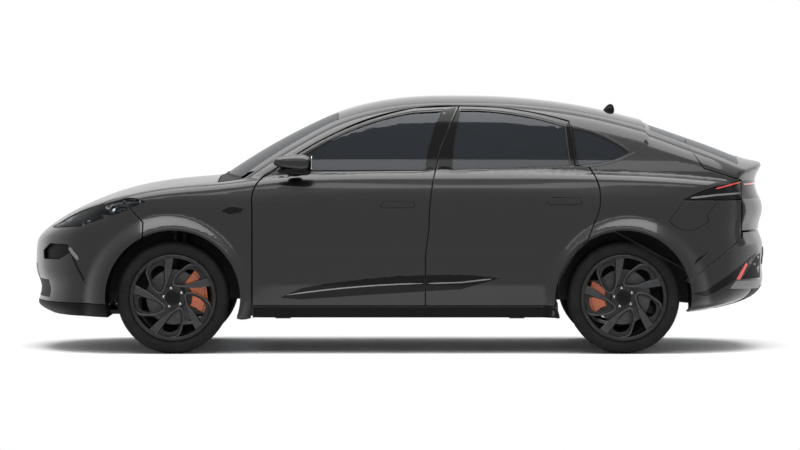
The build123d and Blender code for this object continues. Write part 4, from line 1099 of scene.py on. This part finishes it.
for s, word in ((-1, "left"), (1, "right")):
    for i, (x, z) in enumerate(((-1.975, 0.892), (-1.895, 0.932))):
        p = first_hit(body_form, *SIDE.rays(np.array([x]), np.array([z])))[0]
        dome(f"projector_{i + 1}_{word}", (p[0] + 0.012, s * (abs(p[1]) - 0.024), p[2]), (-0.6, 0.8 * s, 0.15), 0.022, 0.012, "body", lamp_chrome)
TAIL_LAMP = tight(draw((1866, 1006), ((2000, 1063), (2175, 1101)), (2248, 1126), (2248, 1006)))
on_side("tail_lamp_lens", TAIL_LAMP, "body", gloss_black, proud=0.0, thick=0.02, edge=0.002)
for twin in ("left",):
    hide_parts("tail_lamps")
on_side("tail_lamp_blade", strip(draw((1905, 1017), (2080, 1037), (2244, 1046)), 0.012), "body", satin_grey, proud=0.002)
on_side("tail_lamp_red", strip(draw((2070, 1077), (2181, 1103), (2244, 1120)), 0.008), "body", red_lens, proud=0.0025)


def gate_band(name, z_low, z_high, x_side, material, proud, thick=0.006):
    """A band across the tail between two heights."""
    half = np.vstack([level_line(1.45, 1, z_low, x_side)[::-1], level_line(1.45, 1, z_high, x_side)])
    keep = half[half[:, 0] > x_side / 1000]
    ring = tight(GATE.flat(np.vstack((keep, across(keep)))))
    put(name, [pressed(ring, GATE, body_form, thick, sink=-proud, edge=0.001, step=0.03)], "tailgate", material)


gate_band("tail_light_bar", 1008, 1128, 2262, gloss_black, 0.0015)
gate_band("tail_light_line", 1098, 1107, 2268, red_lens, 0.004)
print("lamps done")

# %% [markdown]
# ## Wheels
# The rim is five closed loops that lap over one another like the blades of a fan. One loop is drawn in
# the wheel's own plane as a smooth closed curve with a smooth hole, given a face that tilts so that its
# leading edge stands over its neighbour, and turned five times.

# %% Loop spokes, rims and brakes
def closed_curve(points, cuts=10):
    """A smooth closed curve through points: Catmull-Rom pieces."""
    p = np.asarray(points, float)
    a, b, c, d = np.roll(p, 1, 0), p, np.roll(p, -1, 0), np.roll(p, -2, 0)
    t = np.linspace(0, 1, cuts, endpoint=False)[None, :, None]
    a, b, c, d = (q[:, None] for q in (a, b, c, d))
    curve = 0.5 * (2 * b + (c - a) * t + (2 * a - 5 * b + 4 * c - d) * t**2 + (3 * b - a - 3 * c + d) * t**3)
    return curve.reshape(-1, 2)


def polar(points):
    r, a = np.array(points, float).T
    return np.column_stack((r / 1000 * np.cos(np.radians(a)), r / 1000 * np.sin(np.radians(a))))


class WheelView:
    """u and v are measured from the axle; rays run in from the left."""

    def __init__(self, x):
        self.x = x

    def rays(self, u, v):
        n = len(u)
        return np.column_stack((u + self.x, np.full(n, -1.05), v + AXLE_Z)), np.tile((0.0, 1.0, 0.0), (n, 1))


def loop_face(axle_x):
    """Height of a loop's face: tilted across the loop, dished towards the hub."""
    def form(x, y, z):
        u, v = x - axle_x, z - AXLE_Z
        r = np.hypot(u, v)
        tilt = 0.010 * np.clip((np.degrees(np.arctan2(v, u)) - 118) / 40, -1, 1)
        dish = 0.020 * np.clip(1 - r / 0.24, 0, 1) ** 1.5
        return y + 0.9465 - dish - 0.0035 + tilt * np.clip(r / 0.2, 0, 1) * 0.5 - 0.5 * abs(0.010)
    return form


PETAL = ((275, 90), (276, 106), (271, 122), (261, 131), (239, 138), (163, 153), (107, 164), (86, 164), (71, 150), (110, 108),
         (170, 94), (235, 90))
RECESS = ((256, 103), (259, 116), (249, 129), (226, 135), (157, 149), (104, 157), (88, 148), (110, 120), (180, 108))
WINDOW = ((217, 108), (229, 118), (222, 128), (200, 136), (155, 145), (106, 151), (92, 145), (113, 122), (178, 109))


def lathe(name, profile, axle_x, body, material, segments=112, y_mid=-0.84, mirror=False, ripple=None):
    """Turns a closed (radius, y) profile about the axle. ripple(angle, r, y) lowers the radius."""
    p = np.asarray(profile, float)
    a = np.linspace(0, 2 * math.pi, segments, endpoint=False)[:, None]
    r = np.tile(p[:, 0], (segments, 1))
    y = np.tile(p[:, 1], (segments, 1))
    if ripple is not None:
        r = r - ripple(a, r, y)
    v = np.stack((axle_x + r * np.cos(a), y_mid + y, AXLE_Z + r * np.sin(a)), -1).reshape(-1, 3)
    n = len(p)
    i, k = np.meshgrid(np.arange(segments), np.arange(n), indexing="ij")
    i2, k2 = (i + 1) % segments, (k + 1) % n
    faces = np.stack((i * n + k, i2 * n + k, i2 * n + k2, i * n + k2), -1).reshape(-1, 4)
    if mirror:
        v = v * (1, -1, 1)
        faces = faces[:, ::-1]
    return new_object(name, v, faces, body, material)


RIM = [(0.283, -0.117), (0.2825, -0.112), (0.276, -0.109), (0.270, -0.105), (0.269, -0.066), (0.256, -0.046), (0.254, -0.040),
       (0.254, 0.040), (0.269, 0.070), (0.269, 0.105), (0.276, 0.109), (0.2825, 0.112), (0.283, 0.117), (0.272, 0.117), (0.262, 0.114),
       (0.262, 0.074), (0.248, 0.046), (0.246, 0.040), (0.246, -0.048), (0.258, -0.072), (0.258, -0.112), (0.262, -0.117), (0.272, -0.1175)]
TYRE = [(0.2695, -0.098), (0.285, -0.109), (0.300, -0.1165), (0.322, -0.1215), (0.338, -0.1195), (0.350, -0.113), (0.3585, -0.102),
        (0.3635, -0.090), (0.366, -0.075)]


def tyre_profile(count=66):
    """Half profile, tread samples, and the half profile mirrored."""
    left = np.array(TYRE)
    tread = np.column_stack((np.full(count, 0.3668), np.linspace(-0.070, 0.070, count)))
    right = (left * (1, -1))[::-1]
    inside = np.array([(0.268, 0.09), (0.268, 0.0), (0.268, -0.09)])
    return np.vstack((left, tread, right, inside))


def tread_ripple(a, r, y):
    """Four grooves round the tyre, and slanted sipes across the blocks and shoulders."""
    groove = sum(np.exp(-((y - c) / 0.0042) ** 4) for c in (-0.052, -0.018, 0.018, 0.052)) * 0.0062
    phase = (a * 60 / (2 * math.pi) + y * 22) % 1.0
    sipe = np.where((phase < 0.14), 0.0038, 0.0) * (np.abs(y) < 0.094)
    return np.where(r > 0.355, np.maximum(groove * (np.abs(y) < 0.07), sipe), 0.0)


def disc_shell(axle_x, radius, y_outer, y_inner, hole=0.0, edge=0.003, crown=0.0):
    a = np.linspace(0, 2 * math.pi, 64, endpoint=False)
    ring = radius * np.column_stack((np.cos(a), np.sin(a)))
    holes = [hole * np.column_stack((np.cos(a), np.sin(a)))] if hole else []
    outer = lambda x, y, z: y - y_outer - crown * ((x - axle_x) ** 2 + (z - AXLE_Z) ** 2) / radius**2
    inner = lambda x, y, z: y - y_inner
    return pressed(ring, WheelView(axle_x), outer, inner, holes, step=0.02, edge=edge)


def sector(r0, r1, a0, a1, n=12):
    a = np.radians(np.linspace(a0, a1, n))
    outer = r1 * np.column_stack((np.cos(a), np.sin(a)))
    inner = (r0 * np.column_stack((np.cos(a), np.sin(a))))[::-1]
    return np.vstack((outer, inner))


tread = tyre_profile()
for end, axle_x in AXLES.items():
    view = WheelView(axle_x)
    centre = np.array((axle_x, 0.0, AXLE_Z))
    one = pressed(closed_curve(polar(PETAL)), view, loop_face(axle_x), lambda x, y, z: y + 0.914, [closed_curve(polar(RECESS))],
                  step=0.012, fine=0.006, edge=0.005)
    face = loop_face(axle_x)
    well = pressed(shrink(closed_curve(polar(RECESS)), -0.001), view, lambda x, y, z: face(x, y, z) - 0.010, lambda x, y, z: y + 0.912,
                   [closed_curve(polar(WINDOW))], step=0.012, fine=0.006, edge=0.004)
    loops = [turned(one, math.radians(72 * k), centre) for k in range(5)]
    wells = [turned(well, math.radians(72 * k), centre) for k in range(5)]
    cap = disc_shell(axle_x, 0.047, -0.938, -0.905, edge=0.004, crown=0.004)
    hub = disc_shell(axle_x, 0.080, -0.925, -0.80, edge=0.004)
    brake = disc_shell(axle_x, 0.182, -0.816, -0.786, 0.05, edge=0.001)
    way = 1 if end == "front" else -1
    a0, a1 = (-28, 52) if end == "front" else (152, 208)
    cover = pressed(sector(0.120, 0.212, a0, a1), view, lambda x, y, z: y + 0.853, lambda x, y, z: y + 0.823, step=0.02, edge=0.006)
    bridge = pressed(sector(0.186, 0.226, a0, a1), view, lambda x, y, z: y + 0.851, lambda x, y, z: y + 0.76, step=0.02, edge=0.004)
    for side, flip in (("left", lambda s: s), ("right", other_side)):
        wheel, carrier = f"{end}_wheel_{side}", f"knuckle_{side}" if end == "front" else "body"
        put(f"{end}_loops_{side}", [flip(s) for s in loops], wheel, wheel_alloy, f"{end}_wheel_{side}")
        put(f"{end}_wells_{side}", [flip(s) for s in wells], wheel, barrel_alloy)
        put(f"{end}_cap_{side}", [flip(cap)], wheel, gloss_black)
        for k in range(5):
            a = math.radians(102 + 72 * k)
            across_car = -1 if side == "left" else 1
            dome(f"{end}_lug_{k + 1}_{side}", (axle_x + 0.062 * math.cos(a), across_car * 0.925, AXLE_Z + 0.062 * math.sin(a)),
                 (0, across_car, 0), 0.0085, 0.009, wheel, bright_trim, rings=6, segments=16)
        put(f"{end}_hub_{side}", [flip(hub)], wheel, barrel_alloy)
        put(f"{end}_disc_{side}", [flip(brake)], wheel, brake_steel)
        lathe(f"{end}_rim_{side}", RIM, axle_x, wheel, barrel_alloy, mirror=side == "right")
        tyre = lathe(f"{end}_tyre_skin_{side}", tread, axle_x, wheel, tyre_rubber, segments=300, mirror=side == "right", ripple=tread_ripple)
        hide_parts(f"{end}_tyre_{side}")
        put(f"{end}_caliper_{side}", [flip(cover), flip(bridge)], carrier, caliper_paint)
WELL_DEPTH = {"front": (-0.500, -0.497), "rear": (-0.640, -0.637)}
for end, axle_x in AXLES.items():
    y_out, y_in = WELL_DEPTH[end]
    wall = pressed(sector(0.150, 0.440, 8, 172, 40), WheelView(axle_x), lambda x, y, z: y - y_out, lambda x, y, z: y - y_in, step=0.05, fine=0.02)
    put(f"{end}_well_walls", [wall, other_side(wall)], "body", liner)

# %% [markdown]
# ## Door mirrors
# A mirror shell is a rounded box that narrows towards the nose of the car: a superellipsoid, whose powers
# set how square it is, with its front drawn in.

# %% Door mirrors
def rounded(name, centre, half, powers, body, material, shape=None, rings=28, segments=48):
    """p = half x (sgn cos^a, ...): a superellipsoid; shape(unit points) may bend it before it is placed."""
    u = np.linspace(-math.pi / 2, math.pi / 2, rings)[1:-1, None]
    v = np.linspace(0, 2 * math.pi, segments, endpoint=False)[None]
    e1, e2 = powers

    def power(c, e):
        return np.sign(c) * np.abs(c) ** e

    x = power(np.cos(u), e1) * power(np.cos(v), e2)
    y = power(np.cos(u), e1) * power(np.sin(v), e2)
    z = power(np.sin(u), e1) * np.ones_like(v)
    p = np.stack((x, y, z), -1).reshape(-1, 3)
    p = np.vstack(([(0, 0, -1.0)], p, [(0, 0, 1.0)]))
    if shape is not None:
        p = shape(p)
    k, rows = np.arange(segments), rings - 2
    nxt = np.roll(k, -1)
    faces = [(0, 1 + j, 1 + i) for i, j in zip(k, nxt)]
    for row in range(rows - 1):
        b = 1 + row * segments
        faces += np.column_stack((b + k, b + nxt, b + segments + nxt, b + segments + k)).tolist()
    b = 1 + (rows - 1) * segments
    faces += [(b + i, b + j, len(p) - 1) for i, j in zip(k, nxt)]
    return new_object(name, p * half + centre, faces, body, material)


for s, side in ((-1, "left"), (1, "right")):
    def nose_in(p):
        t = (1 - p[:, 0:1]) / 2
        return np.hstack((p[:, 0:1], p[:, 1:2] * (1 - 0.30 * t), p[:, 2:3] * (1 - 0.42 * t) + 0.10 * t))

    flip = np.array((1, s, 1))
    shell = rounded(f"mirror_shell_{side}", np.array((-0.700, s * 1.020, 1.250)), np.array((0.127, 0.088, 0.064)), (0.82, 0.75),
                    f"front_door_{side}", paint, nose_in)
    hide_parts(f"mirror_{side}")
    rounded(f"mirror_base_{side}", np.array((-0.690, s * 1.010, 1.196)), np.array((0.112, 0.074, 0.034)), (0.7, 0.7),
            f"front_door_{side}", gloss_black, nose_in)
    rounded(f"mirror_arm_{side}", np.array((-0.690, s * 0.935, 1.178)), np.array((0.050, 0.052, 0.018)), (0.7, 0.6),
            f"front_door_{side}", gloss_black)
    glass = rounded(f"mirror_glass_{side}", np.array((-0.5755, s * 1.022, 1.250)), np.array((0.003, 0.076, 0.050)), (0.5, 0.5),
                    f"front_door_{side}", bright_trim)
print("mirrors done")

# %% [markdown]
# ## Padded seats
# A seat is foam under leather that is sewn down along a few channels. Each cushion starts as a closed
# rounded block, its skin is cut into an even mesh, and a few steps of cloth with a little air pressure
# let it swell between the seams, which stay pinned. That gives soft crowns and tucked-in seams that a
# bevelled block can't show.

# %% Cushions
SWELL_LIMIT = 0.024
SWELL_STEPS = 14


def even_skin(piece, voxel):
    """Replaces a piece's mesh by one of even small quads over the same closed form."""
    cutter = piece.modifiers.new("even_skin", "REMESH")
    cutter.mode, cutter.voxel_size = "VOXEL", voxel
    fresh = bpy.data.meshes.new_from_object(piece.evaluated_get(bpy.context.evaluated_depsgraph_get()))
    piece.modifiers.remove(cutter)
    for material in piece.data.materials:
        if material.name not in fresh.materials:
            fresh.materials.append(material)
    fresh.polygons.foreach_set("use_smooth", np.ones(len(fresh.polygons), bool))
    piece.data = fresh


def mesh_points(mesh):
    flat = np.empty(3 * len(mesh.vertices), np.float32)
    mesh.vertices.foreach_get("co", flat)
    return flat.reshape(-1, 3).astype(float)


def swell(piece, seams, tuck=0.007):
    """Cloth under light pressure between pinned seams. seams(points) is 1 on a seam and 0 away from it."""
    before = mesh_points(piece.data)
    pull = seams(before)
    inward = before - before.mean(axis=0)
    inward /= np.maximum(np.linalg.norm(inward, axis=1, keepdims=True), 1e-9)
    before -= inward * (tuck * pull)[:, None]
    piece.data.vertices.foreach_set("co", before.astype(np.float32).ravel())
    piece.data.update()
    held = piece.vertex_groups.new(name="seams")
    for i in np.nonzero(pull > 0.5)[0].tolist():
        held.add([i], 1.0, "REPLACE")
    cloth = piece.modifiers.new("foam", "CLOTH")
    cloth.settings.quality = 4
    cloth.settings.mass = 0.4
    cloth.settings.use_pressure = True
    cloth.settings.uniform_pressure_force = 4.0
    cloth.settings.vertex_group_mass = "seams"
    cloth.settings.effector_weights.gravity = 0
    cloth.collision_settings.use_collision = False
    for step in range(1, SWELL_STEPS + 1):
        bpy.context.scene.frame_set(step)
    shaped = piece.evaluated_get(bpy.context.evaluated_depsgraph_get())
    after = mesh_points(shaped.to_mesh())
    shaped.to_mesh_clear()
    piece.modifiers.remove(cloth)
    bpy.context.scene.frame_set(1)
    move = after - before
    far = np.linalg.norm(move, axis=1, keepdims=True)
    before = before + move * np.minimum(1, SWELL_LIMIT / np.maximum(far, 1e-9))
    piece.data.vertices.foreach_set("co", before.astype(np.float32).ravel())
    piece.data.update()
    print("  cushion", piece.name, len(before), "points")


def cushion(name, centre, half, lean, powers, voxel, seams, nodes, shift=(0.0,)):
    """A leaned, rounded block swollen between its seams, with copies shifted across the car."""
    def leaned(p):
        p = p.copy()
        p[:, 0] += lean * p[:, 2] * half[2] / half[0]
        return p

    piece = rounded(name, np.array(centre), np.array(half), powers, "body", seat_leather, leaned)
    even_skin(piece, voxel)
    swell(piece, lambda p: seams((p - centre) / half))
    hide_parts(nodes)
    for i, dy in enumerate(shift[1:]):
        twin = piece.copy()
        twin.data = piece.data.copy()
        twin.name = f"{name}_{i + 2}"
        bpy.context.scene.collection.objects.link(twin)
        v = mesh_points(twin.data) + (0, dy, 0)
        twin.data.vertices.foreach_set("co", v.astype(np.float32).ravel())
        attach(twin, "body")
        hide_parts(nodes)


def bolster_seams(*lines):
    """Lengthwise seams at given shares of the half width, and cross seams every third of the length."""
    def on_seam(q):
        near = np.zeros(len(q))
        for share in lines:
            near = np.maximum(near, np.abs(np.abs(q[:, 1]) - share) < 0.035)
        inner = np.abs(q[:, 1]) < max(lines)
        long_way = np.where(np.ptp(q[:, 2]) > np.ptp(q[:, 0]), q[:, 2], q[:, 0])
        return np.maximum(near, inner & (np.abs((long_way * 2.5 + 0.5) % 1.0 - 0.5) < 0.05)).astype(float)
    return on_seam


SEAT_Y = 0.37
ACROSS = (0.0, 2 * SEAT_Y)
cushion("front_seat_cushion", (-0.235, -SEAT_Y, 0.545), (0.270, 0.255, 0.095), 0.0, (0.42, 0.42), 0.010, bolster_seams(0.62), "front_seats", ACROSS)
cushion("front_seat_back", (0.120, -SEAT_Y, 0.875), (0.060, 0.245, 0.315), 0.26, (0.45, 0.6), 0.010, bolster_seams(0.60), "front_seats", ACROSS)
cushion("front_headrest", (0.222, -SEAT_Y, 1.270), (0.048, 0.125, 0.092), 0.15, (0.6, 0.6), 0.008, bolster_seams(0.78), "front_seats", ACROSS)
cushion("rear_cushion", (0.705, 0.0, 0.555), (0.225, 0.600, 0.085), 0.0, (0.42, 0.3), 0.012, bolster_seams(0.33, 0.80), "rear_bench")
cushion("rear_back", (1.060, 0.0, 0.880), (0.060, 0.560, 0.280), 0.30, (0.45, 0.4), 0.012, bolster_seams(0.33, 0.80), "rear_bench")
for i, y in enumerate((-0.37, 0.0, 0.37)):
    cushion(f"rear_headrest_{i + 1}", (1.165, y, 1.185), (0.042, 0.115, 0.055), 0.15, (0.6, 0.6), 0.008, bolster_seams(0.78), "rear_bench")
for i, y in enumerate((-SEAT_Y, SEAT_Y)):
    rounded(f"front_seat_base_{i + 1}", np.array((-0.235, y, 0.425)), np.array((0.22, 0.20, 0.040)), (0.2, 0.2), "body", black_plastic)
    rounded(f"front_headrest_post_{i + 1}", np.array((0.202, y, 1.180)), np.array((0.009, 0.045, 0.055)), (0.5, 0.5), "body", dark_satin)
rounded("rear_seat_base", np.array((0.71, 0.0, 0.435)), np.array((0.21, 0.58, 0.050)), (0.2, 0.2), "body", black_plastic)
print("seats done")

# %% [markdown]
# ## Fin and bare plates
# The aerial fin is a rounded wedge that leans back. The plate panels stay bare.

# %% Fin and plates
def swept(p):
    """Draws the top of a rounded form together and back into a fin."""
    up = (p[:, 2:3] + 1) / 2
    x = p[:, 0:1] * (1 - 0.55 * up) + 0.42 * up
    return np.hstack((x, p[:, 1:2] * (1 - 0.65 * up), p[:, 2:3]))


rounded("roof_fin", np.array((1.398, 0.0, 1.596)), np.array((0.050, 0.020, 0.036)), (0.8, 0.7), "body", gloss_black, swept)


def end_band(name, view, point_view, way, z_low, z_high, half_width, material, proud, body="body", thick=0.004):
    """A panel across the nose or tail between two heights, reaching half_width to each side."""
    y = np.linspace(-half_width, half_width, 25)
    low = np.column_stack((np.arctan2(y, np.full(25, 1.0)), np.full(25, z_low)))
    high = np.column_stack((np.arctan2(y[::-1], np.full(25, 1.0)), np.full(25, z_high)))
    ring = np.vstack((low, high))
    p = first_hit(body_form, *view.rays(ring[:, 0], ring[:, 1]))
    put(name, [pressed(tight(point_view.flat(p)), point_view, body_form, thick, sink=-proud, edge=0.0012, step=0.03)], body, material)


end_band("front_plate", EndView(-1.45, -1), NOSE, -1, 0.474, 0.568, 0.26, satin_grey, 0.0025)
end_band("front_intake", EndView(-1.45, -1), NOSE, -1, 0.352, 0.470, 0.60, black_plastic, 0.001)
end_band("rear_plate", EndView(1.45, 1), TAIL, 1, 0.560, 0.672, 0.26, satin_grey, 0.005)
end_band("rear_diffuser", EndView(1.45, 1), TAIL, 1, 0.275, 0.420, 0.62, black_plastic, 0.002)
print("fin and plates done")

# %% [markdown]
# ## Studio
# A white floor and world backdrop, two soft boxes and a long lens. The white of the background comes only to rays from
# the camera or by way of a mirror-like or clear surface, so the car isn't lit by it twice, and the floor keeps the
# contact shadow.

# %% Floor, light and camera
def seen_directly(nodes, links):
    """1 for rays from the camera or by way of a mirror-like or clear surface, else 0."""
    path_of_light = nodes.new("ShaderNodeLightPath")
    either = nodes.new("ShaderNodeMath")
    either.operation = "MAXIMUM"
    links.new(path_of_light.outputs["Is Camera Ray"], either.inputs[0])
    links.new(path_of_light.outputs["Is Glossy Ray"], either.inputs[1])
    any_of = nodes.new("ShaderNodeMath")
    any_of.operation = "MAXIMUM"
    links.new(either.outputs[0], any_of.inputs[0])
    links.new(path_of_light.outputs["Is Transmission Ray"], any_of.inputs[1])
    return any_of.outputs[0]


def stage_floor():
    """A large flat floor: paint under the car, fading to pure white further out."""
    size, fade_x, fade_y = 60.0, 4.2, 2.6
    floor = bpy.data.meshes.new("studio_floor")
    floor.from_pydata([(-size, -size, 0), (size, -size, 0), (size, size, 0), (-size, size, 0)], [], [(0, 1, 2, 3)])
    m, nodes, links, shader = new_material("floor_paint", Roughness=0.75, Specular_IOR_Level=0.1)
    links.new(ramp(nodes, links, noise(nodes, links, 2.0), grey(0.90), grey(0.92)), shader.inputs["Base Color"])
    where = nodes.new("ShaderNodeTexCoord")
    scaled = nodes.new("ShaderNodeVectorMath")
    scaled.operation = "MULTIPLY"
    scaled.inputs[1].default_value = (1 / fade_x, 1 / fade_y, 0)
    links.new(where.outputs["Object"], scaled.inputs[0])
    reach = nodes.new("ShaderNodeVectorMath")
    reach.operation = "LENGTH"
    links.new(scaled.outputs["Vector"], reach.inputs[0])
    fade = nodes.new("ShaderNodeMapRange")
    fade.interpolation_type = "SMOOTHSTEP"
    fade.inputs["From Min"].default_value = 0.55
    fade.inputs["From Max"].default_value = 1.0
    links.new(reach.outputs["Value"], fade.inputs["Value"])
    amount = nodes.new("ShaderNodeMath")
    amount.operation = "MULTIPLY"
    links.new(fade.outputs["Result"], amount.inputs[0])
    links.new(seen_directly(nodes, links), amount.inputs[1])
    white = nodes.new("ShaderNodeEmission")
    white.inputs["Strength"].default_value = 1.0
    mix = nodes.new("ShaderNodeMixShader")
    links.new(amount.outputs[0], mix.inputs["Fac"])
    links.new(shader.outputs["BSDF"], mix.inputs[1])
    links.new(white.outputs["Emission"], mix.inputs[2])
    links.new(mix.outputs["Shader"], nodes["Material Output"].inputs["Surface"])
    floor.materials.append(m)
    piece = bpy.data.objects.new("studio_floor", floor)
    bpy.context.scene.collection.objects.link(piece)
    piece.location = (0, 0, -0.001)
    return piece


def area(name, size, where, aim, watts):
    lamp = bpy.data.lights.new(name, "AREA")
    lamp.shape, lamp.size, lamp.size_y, lamp.energy = "RECTANGLE", size[0], size[1], watts
    piece = bpy.data.objects.new(name, lamp)
    bpy.context.scene.collection.objects.link(piece)
    piece.location = where
    piece.rotation_euler = (Vector(aim) - Vector(where)).to_track_quat("-Z", "Y").to_euler()


stage_floor()
world = bpy.data.worlds.new("studio")
bpy.context.scene.world = world
world.use_nodes = True
world_nodes, world_links = world.node_tree.nodes, world.node_tree.links
backdrop = world_nodes["Background"]
backdrop.inputs["Color"].default_value = (0.97, 0.98, 1.0, 1)
backdrop.inputs["Strength"].default_value = 0.6
white = world_nodes.new("ShaderNodeBackground")
white.inputs["Color"].default_value = (1, 1, 1, 1)
white.inputs["Strength"].default_value = 1.0
pick = world_nodes.new("ShaderNodeMixShader")
world_links.new(seen_directly(world_nodes, world_links), pick.inputs["Fac"])
world_links.new(backdrop.outputs["Background"], pick.inputs[1])
world_links.new(white.outputs["Background"], pick.inputs[2])
world_links.new(pick.outputs["Shader"], world_nodes["World Output"].inputs["Surface"])
area("soft_box_top", (8, 4.5), (0.0, -0.6, 5.0), (0, 0, 0.9), 640)
area("soft_box_side", (9, 1.0), (0.0, -6.5, 5.2), (0, 0, 0.8), 110)

camera = bpy.data.cameras.new("camera")
camera.lens = 200
camera.sensor_width = 36
photo_camera = bpy.data.objects.new("camera", camera)
bpy.context.scene.collection.objects.link(photo_camera)
bpy.context.scene.camera = photo_camera
distance, elevation = 30.0, math.radians(1.7)
aim = Vector((0.0, 0.0, 0.815))
photo_camera.location = aim + Vector((0, -math.cos(elevation), math.sin(elevation))) * distance
photo_camera.rotation_euler = (aim - photo_camera.location).to_track_quat("-Z", "Y").to_euler()
camera.clip_end = 200
scene = bpy.context.scene
scene.view_settings.view_transform = "Standard"
print("camera", tuple(round(c, 3) for c in photo_camera.location))

# %% Finish
for name, node in frame["nodes"].items():
    if not node.hide_render:
        finish_of = {
            "battery_pack": battery_case, "front_suspension": cast_parts, "rear_suspension": cast_parts,
            "rear_drive_unit": cast_parts, "underbody": under_steel, "wheel_arch_liners": liner,
            "front_bay_cover": black_plastic, "dashboard": cabin_trim, "front_seats": seat_leather, "rear_bench": seat_leather,
            "steering_wheel": seat_leather,
        }
        chosen = finish_of.get(name, tyre_rubber if "tyre" in name else wheel_alloy if "wheel" in name
                               else cast_parts if "knuckle" in name else gloss_black)
        for i in range(len(node.data.materials)):
            node.data.materials[i] = chosen
        if not node.data.materials:
            node.data.materials.append(chosen)
